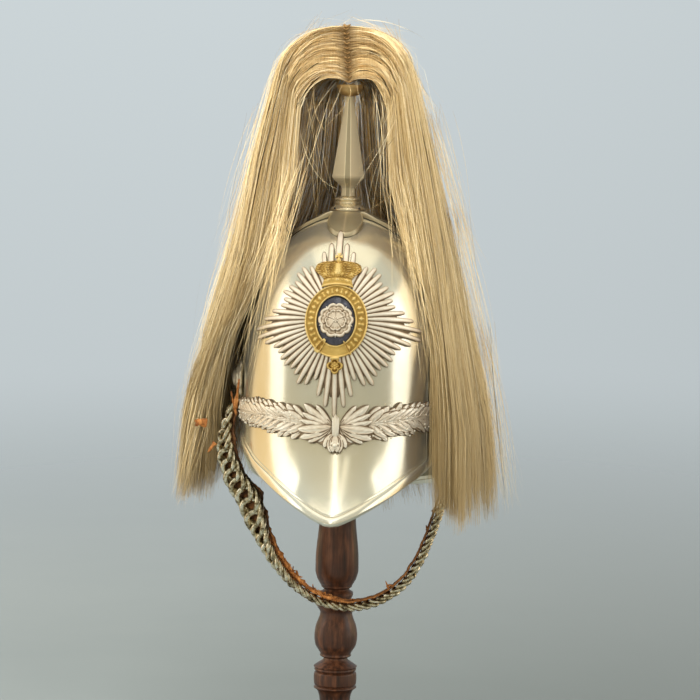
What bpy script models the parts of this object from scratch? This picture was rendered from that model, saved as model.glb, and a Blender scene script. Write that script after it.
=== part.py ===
"""Cavalry helmet with a horsehair plume and a curb chin chain, on a turned wooden stand.

Metres, +Z up. The origin is the centre of the stand's foot, and the helmet's front faces -Y.
Azimuths are measured round the helmet's axis from the front (-Y) towards +X.
"""

import math

import bmesh
import bpy
from mathutils import Vector

HELMET_X = 0.0040  # the helmet sits this far to one side of the pole

# Metal skull: an egg-shaped dome over an oval brow, flaring into a front and a rear peak
SKULL_TOP_Z = 0.475
EQUATOR_Z = 0.360
BROW_Z = 0.325
SKULL_HALF_WIDTH = 0.085
SKULL_FRONT = 0.105
SKULL_REAR = 0.108
SKULL_WALL = 0.0012
SKULL_SIDES = 36
DOME_ROWS_DEG = (16, 30, 44, 58, 74, 90)  # angle down from the crown
FLARE_ROWS = (0.25, 0.56, 0.87, 1.0)  # share of the way from brow to rim
FLARE_START = 0.55  # how far down the flare stays upright
RIM = (  # azimuth in degrees, distance from the axis, height
    (0, 0.1500, 0.2346),
    (6, 0.1438, 0.2390),
    (11, 0.1363, 0.2440),
    (20, 0.1211, 0.2510),
    (28, 0.1109, 0.2570),
    (35, 0.1040, 0.2615),
    (48, 0.0942, 0.2680),
    (60, 0.0892, 0.2750),
    (80, 0.0862, 0.2840),
    (90, 0.0860, 0.2860),
    (100, 0.0875, 0.2770),
    (112, 0.0920, 0.2620),
    (125, 0.0990, 0.2480),
    (132, 0.1050, 0.2434),
    (145, 0.1210, 0.2385),
    (158, 0.1400, 0.2336),
    (170, 0.1550, 0.2310),
    (180, 0.1600, 0.2300),
)

# Edge binding, a channel folded over the rim: drop outside, drop inside, sheet thickness
BINDING_OUTER_DROP = 0.0065
BINDING_INNER_DROP = 0.0030
BINDING_SHEET = 0.0008
BINDING_GAP = 0.0010

# Star plate and what is mounted on it, in the plate's own plane: u across, v up, w out
STAR_Z = 0.3925
STAR_X = -0.0015  # the plate sits a little off the middle
RAY_COUNT = 56
STAR_OUTLINE = (  # angle from the top in degrees, reach of the rays
    (0, 0.0830),
    (8, 0.0700),
    (14, 0.0640),
    (22, 0.0540),
    (28, 0.0530),
    (34, 0.0580),
    (46, 0.0495),
    (57, 0.0540),
    (68, 0.0470),
    (93, 0.0710),
    (112, 0.0525),
    (127, 0.0545),
    (138, 0.0510),
    (150, 0.0600),
    (161, 0.0495),
    (167, 0.0610),
    (180, 0.0762),
)
RAY_NOTCH = 0.88  # reach of the notch between two rays, as a share of the shorter one
STAR_HUB = 0.024
RAY_BEND = 0.62  # where a ray bends, as a share of the way from the hub to its notch
STAR_BACK = 0.0024
STAR_EDGE_BACK = 0.0022
STAR_VALLEY = 0.0029
STAR_RIDGE = 0.0039
BELT_OUTER = (0.0255, 0.0299)  # half width and half height of the oval belt
BELT_INNER = (0.0156, 0.0205)
BELT_BACK = 0.0044
BELT_TOP = 0.0068
BELT_DIP = 0.0003
BELT_SIDES = 32
ENAMEL_BACK = 0.0044
ENAMEL_EDGE = 0.0052
ENAMEL_DOME = 0.0058
ENAMEL_FLAT = 0.6  # share of the oval that stays level
ENAMEL_GAP = 0.0004
ENAMEL_SIDES = 28
ROSE_RADIUS = 0.0138
ROSE_BACK = 0.0066
ROSE_SIDES = 30
ROSE_LOBE = 0.18  # how far the petals stand out of the outline, as a share of its radius
ROSE_CLEFT = 0.05
ROSE_EYE = 0.0030
ROSE_INNER = 0.0075
ROSE_RELIEF = (0.0026, 0.0022, 0.0012)  # at the middle, round the eye, at the edge
ROSE_INNER_RELIEF = (0.0024, 0.0020, 0.0012)  # across one inner petal
CROWN_BACK = 0.0044
CROWN_EDGE = 0.0008
CROWN_FURROW = 0.75  # relief between the arches, as a share of theirs
CROWN_ARCHED_ROWS = (3, 4)
CROWN_ROWS = (  # height above the plate's centre, half width, relief
    (0.0306, 0.0128, 0.0016),
    (0.0375, 0.0124, 0.0022),
    (0.0388, 0.0112, 0.0012),
    (0.0465, 0.0188, 0.0034),
    (0.0510, 0.0160, 0.0034),
    (0.0535, 0.0070, 0.0024),
    (0.0548, 0.0026, 0.0016),
    (0.0576, 0.0034, 0.0026),
    (0.0604, 0.0014, 0.0012),
)
CROWN_COLUMNS = 8
DROP_CENTRE_V = -0.0362
DROP_RADIUS = 0.0058
DROP_NOTCH = 0.82
DROP_ROWS = ((0.0, 0.0), (0.6, 0.0004), (1.0, 0.0012))  # share of the radius, below the belt's top
DROP_SIDES = 16

# Leaf wreath round the front of the brow
WREATH_SPAN_DEG = 80
WREATH_LEAVES = 9  # on each side
WREATH = (  # azimuth in degrees, lower edge, upper edge
    (0, 0.2870, 0.3120),
    (4.4, 0.2885, 0.3135),
    (8.9, 0.2905, 0.3270),
    (30, 0.2960, 0.3285),
    (55, 0.3000, 0.3240),
    (80, 0.3010, 0.3210),
)
WREATH_BACK = 0.0020
WREATH_EDGE = 0.0010
WREATH_STEM = 0.0018
WREATH_RELIEF = 0.0024
WREATH_HOLLOW = 0.55  # relief between two leaves, as a share of a leaf's
WREATH_TOOTH = 0.0026  # how far each leaf tip stands out of the edges

# Four-leaved crosspiece, collar, spike and plume cup on the crown
CROSS_SIDES = 32
CROSS_HUB = 0.0150
CROSS_REACH = 0.050
CROSS_FRONT_REACH = 0.0455  # the front leaf stops short of the star
CROSS_WAIST = 0.0165
CROSS_POINTEDNESS = 1.6
CROSS_TOP_ROWS = ((0.3, 1.0), (0.65, 1.0), (1.0, 0.6))  # share of the way out, share of the thickness
CROSS_BACK = 0.0016
CROSS_THICK = 0.0022
CROSS_HUB_TOP_Z = 0.4790
COLLAR_ROWS = (  # radius, height
    (0.0150, 0.4793),
    (0.0150, 0.4802),
    (0.0118, 0.4832),
    (0.0110, 0.4845),
    (0.0119, 0.4862),
    (0.0117, 0.4885),
    (0.0072, 0.4904),
)
SPIKE_ROWS = (  # height, half width across the flats, share of a side taken by the narrow facet
    (0.4907, 0.0058, 0.36),
    (0.4974, 0.0054, 0.36),
    (0.5010, 0.0085, 0.30),
    (0.5057, 0.0134, 0.25),
    (0.5530, 0.0069, 0.30),
    (0.5737, 0.0040, 0.36),
)
METAL_SIDES = 16
CUP_ROWS = (
    (0.0030, 0.5740),
    (0.0066, 0.5752),
    (0.0095, 0.5785),
    (0.0110, 0.5828),
    (0.0110, 0.5838),
)

# Horsehair plume. Strands leave a parting that runs over the cup from front to back, turn
# over a shoulder and hang round the sides and back of the skull.
PARTING = (  # place along the parting, depth and height of the inner line, then of the outer line
    (0.0, -0.0115, 0.5860, -0.0040, 0.6310),
    (0.5, 0.0020, 0.5842, 0.0120, 0.6325),
    (1.0, 0.0130, 0.5845, 0.0330, 0.6230),
)
PARTING_REACH = 0.55  # how far a strand leaves the parting before it turns down
PARTING_RISE = 0.005
SHOULDER_RISE = 0.50
SHOULDER_INNER = (0.037, 0.560)  # distance from the axis, height
SHOULDER_OUTER = (0.063, 0.590)
HANG = (  # height, side inner, side outer, back inner, back outer
    (0.590, 0.0360, 0.0630, 0.0300, 0.0600),
    (0.560, 0.0370, 0.0740, 0.0330, 0.0700),
    (0.529, 0.0390, 0.0815, 0.0380, 0.0800),
    (0.487, 0.0440, 0.0910, 0.0480, 0.0930),
    (0.460, 0.0570, 0.0980, 0.0700, 0.1030),
    (0.4375, 0.0680, 0.1040, 0.0855, 0.1110),
    (0.403, 0.0900, 0.1130, 0.1040, 0.1240),
    (0.361, 0.1020, 0.1230, 0.1120, 0.1350),
    (0.340, 0.1045, 0.1300, 0.1130, 0.1400),
    (0.300, 0.1060, 0.1370, 0.1190, 0.1480),
    (0.280, 0.1065, 0.1390, 0.1300, 0.1560),
    (0.260, 0.1070, 0.1400, 0.1480, 0.1680),
    (0.245, 0.1080, 0.1405, 0.1640, 0.1800),
    (0.200, 0.1120, 0.1410, 0.1760, 0.1900),
)
FRONT_EDGE = (  # height, azimuth in degrees of the curtain's front edge on the +X side, on the -X side
    (0.590, 70, 72),
    (0.530, 68, 70),
    (0.450, 63, 68),
    (0.400, 58, 69),
    (0.370, 56, 78),
    (0.350, 55, 101),
    (0.300, 53, 103),
    (0.200, 50, 101),
)
TIP_Z = ((0.0, 0.232), (0.5, 0.238), (1.0, 0.214))  # place along the parting, height of the ends
PARTING_FOOT_Z = 0.5840
PLUME_LEAN = -0.0038  # the hair lies a little towards -X
HAIR_OFF_SKULL = 0.0085
LOCKS = 10  # ridges and hollows on each side
LOCK_RIDGE = 0.0022
LOCK_STAGGER = 0.007
INNER_SHORT = 0.010  # the inner ends stay this much higher than the outer ones
FACE_SHORT = 0.004
WELD = 1e-6
FACE_COLUMNS = 3
CROWN_STEPS = 5
HANG_STEPS = 8

# Rosette bosses that carry the chin chain, one at each ear
BOSS_Z = 0.336
BOSS_SIDES = 14
BOSS_ROWS = (  # radius, distance out from the skull's side
    (0.0130, 0.0008),
    (0.0165, 0.0016),
    (0.0165, 0.0030),
    (0.0120, 0.0058),
    (0.0075, 0.0072),
    (0.0060, 0.0096),
)

# Chin chain: the middle line of the links, from the -X boss round under the chin to the +X boss
CHAIN_ROUTE = (
    (-0.0925, -0.0010, 0.3165),
    (-0.0990, -0.0030, 0.2990),
    (-0.1005, -0.0070, 0.2780),
    (-0.0925, -0.0110, 0.2545),
    (-0.0790, -0.0150, 0.2335),
    (-0.0705, -0.0185, 0.2125),
    (-0.0600, -0.0220, 0.1912),
    (-0.0480, -0.0250, 0.1741),
    (-0.0330, -0.0275, 0.1601),
    (-0.0150, -0.0290, 0.1505),
    (0.0057, -0.0295, 0.1470),
    (0.0260, -0.0290, 0.1500),
    (0.0425, -0.0275, 0.1577),
    (0.0570, -0.0250, 0.1705),
    (0.0682, -0.0220, 0.1886),
    (0.0762, -0.0185, 0.2081),
    (0.0822, -0.0150, 0.2260),
    (0.0895, -0.0110, 0.2500),
    (0.0955, -0.0070, 0.2780),
    (0.0965, -0.0030, 0.2990),
    (0.0940, -0.0010, 0.3165),
)
CHAIN_TWIST = (  # share of the route, turn of the flat side in degrees, width, thickness
    (0.00, 0, 0.0200, 0.0062),
    (0.07, -25, 0.0210, 0.0062),
    (0.15, -62, 0.0230, 0.0060),
    (0.22, -58, 0.0240, 0.0060),
    (0.31, -40, 0.0190, 0.0058),
    (0.40, -14, 0.0150, 0.0054),
    (0.50, 0, 0.0140, 0.0052),
    (0.80, 0, 0.0155, 0.0054),
    (1.00, 0, 0.0170, 0.0058),
)
LINKED_SHARE = 0.27  # the part of the route with whole links, next to the -X boss
LINK_PITCH = 0.0096
LINK_REACH = 0.80  # half a link's length, in pitches
LINK_TWIST = 0.0005
LINK_WIRE = 0.00115
LINK_SIDES = 10
WIRE_SIDES = 5
BAND_POINTS = 28
BAND_GAP = 0.016  # share of the route between the last link's middle and the band
BAND_EDGE = 0.45  # share of the thickness that the upright sides take
BAND_FLAT = 0.62  # share of the width that the flat faces take
LEATHER_RUN = (0.03, 0.97)
LEATHER_THICK = 0.0014
LEATHER_OFF = 0.0018
LEATHER_WIDTH = 0.80  # share of the chain's width
LEATHER_POINTS = 32

# Turned wooden stand
BASE_SIDES = 26
POLE_SIDES = 14
HEAD_SIDES = 18
HEAD_ROWS = (  # radius, height
    (0.0200, 0.4180),
    (0.0310, 0.4205),
    (0.0380, 0.4280),
    (0.0400, 0.4375),
    (0.0375, 0.4500),
    (0.0310, 0.4600),
    (0.0215, 0.4668),
    (0.0120, 0.4700),
)
POLE_ROWS = (  # radius, height
    (0.0130, 0.0418),
    (0.0125, 0.0600),
    (0.0145, 0.0685),
    (0.0176, 0.0735),
    (0.0182, 0.0800),
    (0.0178, 0.0860),
    (0.0166, 0.0875),
    (0.0175, 0.0905),
    (0.0106, 0.0970),
    (0.0118, 0.0993),
    (0.0137, 0.1030),
    (0.0175, 0.1100),
    (0.0183, 0.1170),
    (0.0175, 0.1240),
    (0.0136, 0.1370),
    (0.0165, 0.1430),
    (0.0126, 0.1483),
    (0.0141, 0.1525),
    (0.0112, 0.1575),
    (0.0143, 0.1620),
    (0.0183, 0.1715),
    (0.0183, 0.1815),
    (0.0154, 0.2160),
    (0.0135, 0.2600),
    (0.0120, 0.4177),
)
BASE_ROWS = (
    (0.0920, 0.0000),
    (0.0950, 0.0030),
    (0.0950, 0.0120),
    (0.0860, 0.0180),
    (0.0600, 0.0260),
    (0.0300, 0.0330),
    (0.0210, 0.0415),
)


def clear_scene():
    for obj in list(bpy.data.objects):
        bpy.data.objects.remove(obj, do_unlink=True)


def material(name, colour, roughness, metallic):
    made = bpy.data.materials.new(name)
    made.use_nodes = True
    shader = made.node_tree.nodes["Principled BSDF"]
    shader.inputs["Base Color"].default_value = (*colour, 1)
    shader.inputs["Roughness"].default_value = roughness
    shader.inputs["Metallic"].default_value = metallic
    return made


def carrier(name, x):
    """An empty that a group of pieces hangs from."""
    made = bpy.data.objects.new(name, None)
    made.location.x = x
    bpy.context.scene.collection.objects.link(made)
    return made


def add_object(name, points, faces, finish, sharp_deg=None):
    """One closed solid. With sharp_deg it is shaded smooth apart from edges sharper than that."""
    mesh = bpy.data.meshes.new(name)
    mesh.from_pydata([tuple(p) for p in points], [], faces)
    mesh.materials.append(finish)
    obj = bpy.data.objects.new(name, mesh)
    bpy.context.scene.collection.objects.link(obj)
    face_outwards(mesh)
    if sharp_deg is not None:
        mesh.shade_smooth()
        mesh.set_sharp_from_angle(angle=math.radians(sharp_deg))
    return obj


def face_outwards(mesh):
    work = bmesh.new()
    work.from_mesh(mesh)
    bmesh.ops.recalc_face_normals(work, faces=work.faces)
    if work.calc_volume(signed=True) < 0:
        bmesh.ops.reverse_faces(work, faces=work.faces)
    work.to_mesh(mesh)
    work.free()


def smooth_row(table, at):
    """The table's other columns at a place in its first column, on a curve with no overshoot."""
    xs = [row[0] for row in table]
    if (at - xs[0]) * (xs[-1] - xs[0]) <= 0:
        return list(table[0][1:])
    if (at - xs[-1]) * (xs[-1] - xs[0]) >= 0:
        return list(table[-1][1:])
    i = next(k for k in range(len(xs) - 1) if (at - xs[k]) * (at - xs[k + 1]) <= 0)
    span = xs[i + 1] - xs[i]
    t = (at - xs[i]) / span
    found = []
    for column in range(1, len(table[0])):
        ys = [row[column] for row in table]
        start, end = slope_at(xs, ys, i) * span, slope_at(xs, ys, i + 1) * span
        found.append(
            ys[i] * (1 + 2 * t) * (1 - t) ** 2
            + start * t * (1 - t) ** 2
            + ys[i + 1] * t * t * (3 - 2 * t)
            + end * t * t * (t - 1)
        )
    return found


def slope_at(xs, ys, i):
    if i in (0, len(xs) - 1):
        return 0.0 if len(xs) > 2 else (ys[1] - ys[0]) / (xs[1] - xs[0])
    before = (ys[i] - ys[i - 1]) / (xs[i] - xs[i - 1])
    after = (ys[i + 1] - ys[i]) / (xs[i + 1] - xs[i])
    return 0.0 if before * after <= 0 else 2 * before * after / (before + after)


def around(count):
    return [2 * math.pi * i / count for i in range(count)]


def polar(phi, radius, z):
    return Vector((radius * math.sin(phi), -radius * math.cos(phi), z))


def bands(rows, loop=True):
    """Quads between equal rows of vertex numbers, each row a closed loop or an open line."""
    faces = []
    for lower, upper in zip(rows, rows[1:]):
        count = len(lower)
        for i in range(count if loop else count - 1):
            j = (i + 1) % count
            faces.append((lower[i], lower[j], upper[j], upper[i]))
    return faces


def turned(name, rows, sides, finish, sharp_deg=40, place=None):
    """A turned solid from (radius, height) rows, closed by a flat face at each end."""
    points = [polar(phi, r, z) for r, z in rows for phi in around(sides)]
    if place:
        points = [place(p) for p in points]
    numbers = [list(range(k * sides, (k + 1) * sides)) for k in range(len(rows))]
    faces = bands(numbers) + [tuple(numbers[0]), tuple(numbers[-1])]
    return add_object(name, points, faces, finish, sharp_deg)


# Skull surface


def plan_radius(phi):
    length = SKULL_FRONT if math.cos(phi) > 0 else SKULL_REAR
    return 1 / math.hypot(math.sin(phi) / SKULL_HALF_WIDTH, math.cos(phi) / length)


def rim(phi):
    turn = math.degrees(abs(math.remainder(phi, 2 * math.pi)))
    return smooth_row(RIM, turn)


def flare(phi, t):
    """(radius, height) on the wall between the brow, t 0, and the rim, t 1."""
    brow = plan_radius(phi)
    rim_radius, rim_z = rim(phi)
    knee_z = BROW_Z - FLARE_START * (BROW_Z - rim_z)
    near, both, far = (1 - t) ** 2, 2 * t * (1 - t), t * t
    return (near + both) * brow + far * rim_radius, near * BROW_Z + both * knee_z + far * rim_z


def wall_radius(phi, z):
    """Distance of the skull's outside from the axis at a height."""
    if z >= EQUATOR_Z:
        share = min(1.0, (z - EQUATOR_Z) / (SKULL_TOP_Z - EQUATOR_Z))
        return plan_radius(phi) * math.sqrt(1 - share * share)
    if z >= BROW_Z:
        return plan_radius(phi)
    rim_z = rim(phi)[1]
    knee_z = BROW_Z - FLARE_START * (BROW_Z - rim_z)
    a, b, c = BROW_Z - 2 * knee_z + rim_z, 2 * (knee_z - BROW_Z), BROW_Z - z
    root = math.sqrt(max(0.0, b * b - 4 * a * c))
    t = (-b - root) / (2 * a) if abs(a) > 1e-9 else -c / b
    return flare(phi, min(1.0, max(0.0, t)))[0]


def dome_z(phi, radius):
    share = min(1.0, radius / plan_radius(phi))
    return EQUATOR_Z + (SKULL_TOP_Z - EQUATOR_Z) * math.sqrt(1 - share * share)


def skull_section(phi):
    """(radius, height) points of the outside, from next to the crown down to the rim."""
    section = []
    for down in DOME_ROWS_DEG:
        angle = math.radians(down)
        z = EQUATOR_Z + (SKULL_TOP_Z - EQUATOR_Z) * math.cos(angle)
        section.append(Vector((plan_radius(phi) * math.sin(angle), z)))
    section.append(Vector((plan_radius(phi), BROW_Z)))
    return section + [Vector(flare(phi, t)) for t in FLARE_ROWS]


def offset_section(section, distance):
    """The section moved inwards by a distance, square to its line."""
    moved = []
    for k, at in enumerate(section):
        before = section[k - 1] if k else Vector((0, SKULL_TOP_Z))
        after = section[min(k + 1, len(section) - 1)]
        along = (after - before).normalized()
        moved.append(at + Vector((along.y, -along.x)) * distance)
    return moved


def skull(finish):
    outside = [skull_section(phi) for phi in around(SKULL_SIDES)]
    inside = [offset_section(section, SKULL_WALL) for section in outside]
    points, rows = [], []
    for row in range(len(outside[0])):
        rows.append(list(range(len(points), len(points) + SKULL_SIDES)))
        points += [polar(phi, *outside[k][row]) for k, phi in enumerate(around(SKULL_SIDES))]
    for row in reversed(range(len(outside[0]))):
        rows.append(list(range(len(points), len(points) + SKULL_SIDES)))
        points += [polar(phi, *inside[k][row]) for k, phi in enumerate(around(SKULL_SIDES))]
    top = len(points)
    points += [Vector((0, 0, SKULL_TOP_Z)), Vector((0, 0, SKULL_TOP_Z - SKULL_WALL))]
    faces = bands(rows)
    for i in range(SKULL_SIDES):
        j = (i + 1) % SKULL_SIDES
        faces += [(top, rows[0][j], rows[0][i]), (top + 1, rows[-1][i], rows[-1][j])]
    return add_object("skull", points, faces, finish, 50)


def peak_binding(finish):
    outer = BINDING_GAP + BINDING_SHEET
    near, far = -(SKULL_WALL + BINDING_GAP), -(SKULL_WALL + BINDING_GAP + BINDING_SHEET)
    section = (  # along the wall, out of the wall
        (-BINDING_OUTER_DROP, BINDING_GAP),
        (-BINDING_OUTER_DROP, outer),
        (outer, outer),
        (outer, far),
        (-BINDING_INNER_DROP, far),
        (-BINDING_INNER_DROP, near),
        (BINDING_GAP, near),
        (BINDING_GAP, BINDING_GAP),
    )
    points = []
    for phi in around(SKULL_SIDES):
        above, edge = skull_section(phi)[-2:]
        along = (edge - above).normalized()
        out = Vector((-along.y, along.x))
        for a, b in section:
            at = edge + along * a + out * b
            points.append(polar(phi, at.x, at.y))
    size = len(section)
    rows = [[k * size + i for i in range(size)] for k in range(SKULL_SIDES)]
    return add_object("peak_binding", points, bands(rows + [rows[0]]), finish, 40)


# Plate on the front of the skull


def plate_frame():
    """Centre on the skull, up along the plate, and out of it."""
    step = 0.002
    rise = wall_radius(0, STAR_Z + step) - wall_radius(0, STAR_Z - step)
    lean = math.atan2(-rise, 2 * step)
    centre = Vector((STAR_X, -wall_radius(0, STAR_Z), STAR_Z))
    up = Vector((0, math.sin(lean), math.cos(lean)))
    return centre, up, Vector((0, -math.cos(lean), math.sin(lean)))


def plate_point(u, v, w):
    """A point of the plate's plane laid on the skull along the plate's normal, and w out from it."""
    centre, up, out = PLATE
    start = centre + Vector((u, 0, 0)) + up * v
    near, far = -0.004, 0.090
    for _ in range(32):
        middle = (near + far) / 2
        at = start - out * middle
        phi = math.atan2(at.x, -at.y)
        inside = at.z < SKULL_TOP_Z and math.hypot(at.x, at.y) < wall_radius(phi, at.z)
        near, far = (near, middle) if inside else (middle, far)
    return start - out * (far - w)


PLATE = plate_frame()


def on_plate(angle, reach, w):
    """angle is measured from the plate's top, towards +X."""
    return plate_point(reach * math.sin(angle), reach * math.cos(angle), w)


def ray_reach(index):
    turn = abs(math.remainder(360.0 * index / RAY_COUNT, 360.0))
    low = max(k for k in range(len(STAR_OUTLINE) - 1) if STAR_OUTLINE[k][0] <= turn)
    (a, start), (b, end) = STAR_OUTLINE[low], STAR_OUTLINE[low + 1]
    return start + (end - start) * (turn - a) / (b - a)


def star_plate(finish):
    """Tapering rays, each with a ridge down its middle, on one plate curved to the skull."""
    step = 2 * math.pi / RAY_COUNT
    points = [plate_point(0, 0, STAR_RIDGE), plate_point(0, 0, STAR_BACK)]
    for i in range(RAY_COUNT):
        ray, gap = i * step, (i + 0.5) * step
        reach = ray_reach(i)
        notch = RAY_NOTCH * min(reach, ray_reach(i + 1))
        middle = STAR_HUB + RAY_BEND * (notch - STAR_HUB)
        points += [
            on_plate(ray, STAR_HUB, STAR_RIDGE),
            on_plate(ray, middle, STAR_RIDGE),
            on_plate(ray, reach, STAR_VALLEY),
            on_plate(ray, reach, STAR_EDGE_BACK),
            on_plate(gap, STAR_HUB, STAR_VALLEY),
            on_plate(gap, middle, STAR_VALLEY),
            on_plate(gap, notch, STAR_VALLEY),
            on_plate(gap, notch, STAR_EDGE_BACK),
            on_plate(gap, middle, STAR_BACK),
            on_plate(gap, STAR_HUB, STAR_BACK),
        ]
    each = 10
    faces = []
    for i in range(RAY_COUNT):
        after = 2 + i * each
        before = 2 + ((i - 1) % RAY_COUNT) * each
        hub, mid, tip, tip_back = range(after, after + 4)
        for side in (before, after):
            v_hub, v_mid, v_end, v_back = range(side + 4, side + 8)
            faces += [(0, hub, v_hub), (hub, mid, v_mid, v_hub), (mid, tip, v_end, v_mid)]
            faces += [(tip, tip_back, v_back, v_end)]
        faces += [
            (before + 8, before + 7, tip_back),
            (before + 8, tip_back, after + 8),
            (after + 8, tip_back, after + 7),
            (before + 9, before + 8, after + 8, after + 9),
            (1, before + 9, after + 9),
        ]
    return add_object("star_plate", points, faces, finish, 30)


def oval(angle, half, w, scale=1.0):
    return plate_point(
        half[0] * scale * math.sin(angle), half[1] * scale * math.cos(angle), w
    )


def belt_ring(finish):
    """Oval belt with a raised rim on each side."""
    middle = [(a + b) / 2 for a, b in zip(BELT_OUTER, BELT_INNER)]
    points = []
    for angle in around(BELT_SIDES):
        points += [
            oval(angle, BELT_OUTER, BELT_BACK),
            oval(angle, BELT_OUTER, BELT_TOP),
            oval(angle, middle, BELT_TOP - BELT_DIP),
            oval(angle, BELT_INNER, BELT_TOP),
            oval(angle, BELT_INNER, BELT_BACK),
        ]
    rows = [[k * 5 + i for i in range(5)] for k in range(BELT_SIDES)]
    return add_object("belt_ring", points, bands(rows + [rows[0]]), finish, 40)


def relief_disc(name, rings, back, sides, finish):
    """A raised disc on the plate. rings run from the middle out, each a function of angle and index."""
    points = [rings[0](0, 0)]
    for ring in rings[1:]:
        points += [ring(angle, k) for k, angle in enumerate(around(sides))]
    start = len(points)
    points.append(back(None, 0))
    points += [back(angle, k) for k, angle in enumerate(around(sides))]
    rows = [[1 + r * sides + i for i in range(sides)] for r in range(len(rings) - 1)]
    under = [start + 1 + i for i in range(sides)]
    faces = [(0, rows[0][i], rows[0][(i + 1) % sides]) for i in range(sides)]
    faces += bands(rows + [under])
    faces += [(start, under[(i + 1) % sides], under[i]) for i in range(sides)]
    return add_object(name, points, faces, finish, 30)


def enamel_oval(finish):
    inset = 1 - ENAMEL_GAP / BELT_INNER[0]
    return relief_disc(
        "enamel_oval",
        [
            lambda angle, k: plate_point(0, 0, ENAMEL_DOME),
            lambda angle, k: oval(angle, BELT_INNER, ENAMEL_DOME, ENAMEL_FLAT),
            lambda angle, k: oval(angle, BELT_INNER, ENAMEL_EDGE, inset),
        ],
        lambda angle, k: plate_point(0, 0, ENAMEL_BACK)
        if angle is None
        else oval(angle, BELT_INNER, ENAMEL_BACK, inset),
        ENAMEL_SIDES,
        finish,
    )


def rose(finish):
    """Double rose: five outer petals with cleft edges round five inner ones."""
    middle, eye, edge = ROSE_RELIEF
    petal_sides = ROSE_SIDES // 5

    def outer(angle, k):
        lobe = math.cos(5 * angle / 2) ** 2
        cleft = ROSE_CLEFT if k % petal_sides == 0 else 0.0
        return ROSE_RADIUS * (1 - ROSE_LOBE * (1 - lobe) - cleft)

    def inner(angle, k):
        relief = ROSE_INNER_RELIEF[k % len(ROSE_INNER_RELIEF)]
        return on_plate(angle, ROSE_INNER, ROSE_BACK + relief)

    return relief_disc(
        "rose",
        [
            lambda angle, k: plate_point(0, 0, ROSE_BACK + middle),
            lambda angle, k: on_plate(angle, ROSE_EYE, ROSE_BACK + eye),
            inner,
            lambda angle, k: on_plate(angle, outer(angle, k), ROSE_BACK + edge),
        ],
        lambda angle, k: plate_point(0, 0, ROSE_BACK)
        if angle is None
        else on_plate(angle, outer(angle, k), ROSE_BACK),
        ROSE_SIDES,
        finish,
    )


def belt_drop(finish):
    """The pierced end of the belt, a small lobed ornament under the ring."""

    def at(angle, reach, w):
        u, v = reach * math.sin(angle), DROP_CENTRE_V + reach * math.cos(angle)
        return plate_point(u, v, w)

    def lobed(k):
        return DROP_RADIUS * (1.0 if k % 2 == 0 else DROP_NOTCH)

    return relief_disc(
        "belt_drop",
        [
            lambda angle, k, share=share, below=below: at(angle, lobed(k) * share, BELT_TOP - below)
            for share, below in DROP_ROWS
        ],
        lambda angle, k: at(0, 0, BELT_BACK) if angle is None else at(angle, lobed(k), BELT_BACK),
        DROP_SIDES,
        finish,
    )


def crown(finish):
    """Arched crown: a banded foot, bulging arches and an orb, in relief."""
    across = [2 * k / CROWN_COLUMNS - 1 for k in range(CROWN_COLUMNS + 1)]
    points = []
    for level, (v, half, relief) in enumerate(CROWN_ROWS):
        for k, share in enumerate(across):
            bulge = math.sqrt(1 - share * share)
            if k % 2 and level in CROWN_ARCHED_ROWS:
                bulge *= CROWN_FURROW
            points.append(plate_point(share * half, v, CROWN_BACK + CROWN_EDGE + relief * bulge))
    top = len(points)
    for v, half, _ in CROWN_ROWS:
        points += [plate_point(share * half, v, CROWN_BACK) for share in across]
    size = len(across)
    front = [[r * size + i for i in range(size)] for r in range(len(CROWN_ROWS))]
    back = [[top + n for n in row] for row in front]
    faces = bands(front, loop=False) + bands(back, loop=False)
    faces += bands([front[0], back[0]], loop=False) + bands([front[-1], back[-1]], loop=False)
    for side in (0, -1):
        faces += bands([[r[side] for r in front], [r[side] for r in back]], loop=False)
    return add_object("crown", points, faces, finish, 30)


# Wreath, crosspiece and bosses


def wreath(finish):
    """Leaves in two rows along a stem, pointing away from the knot at the middle."""
    columns = 2 * WREATH_LEAVES
    points = []
    for k in range(-columns, columns + 1):
        turn = WREATH_SPAN_DEG * k / columns
        phi = math.radians(turn)
        low, high = smooth_row(WREATH, abs(turn))
        tip = WREATH_TOOTH if k % 2 == 0 and abs(k) < columns else 0.0
        low, high = low - tip, high + tip
        stem = (low + high) / 2
        leaf = WREATH_RELIEF * (1.0 if k % 2 == 0 else WREATH_HOLLOW)
        for z, relief in (
            (low, 0.0),
            (low, WREATH_EDGE),
            ((low + stem) / 2, leaf),
            (stem, WREATH_STEM),
            ((high + stem) / 2, leaf),
            (high, WREATH_EDGE),
            (high, 0.0),
        ):
            points.append(polar(phi, wall_radius(phi, z) + WREATH_BACK + relief, z))
    size = 7
    rows = [[k * size + i for i in range(size)] for k in range(2 * columns + 1)]
    faces = bands(rows) + [tuple(rows[0]), tuple(rows[-1])]
    return add_object("wreath", points, faces, finish, 30)


def cross_reach(phi):
    longest = CROSS_FRONT_REACH if math.cos(phi) > math.sqrt(0.5) else CROSS_REACH
    return CROSS_WAIST + (longest - CROSS_WAIST) * abs(math.cos(2 * phi)) ** CROSS_POINTEDNESS


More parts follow.
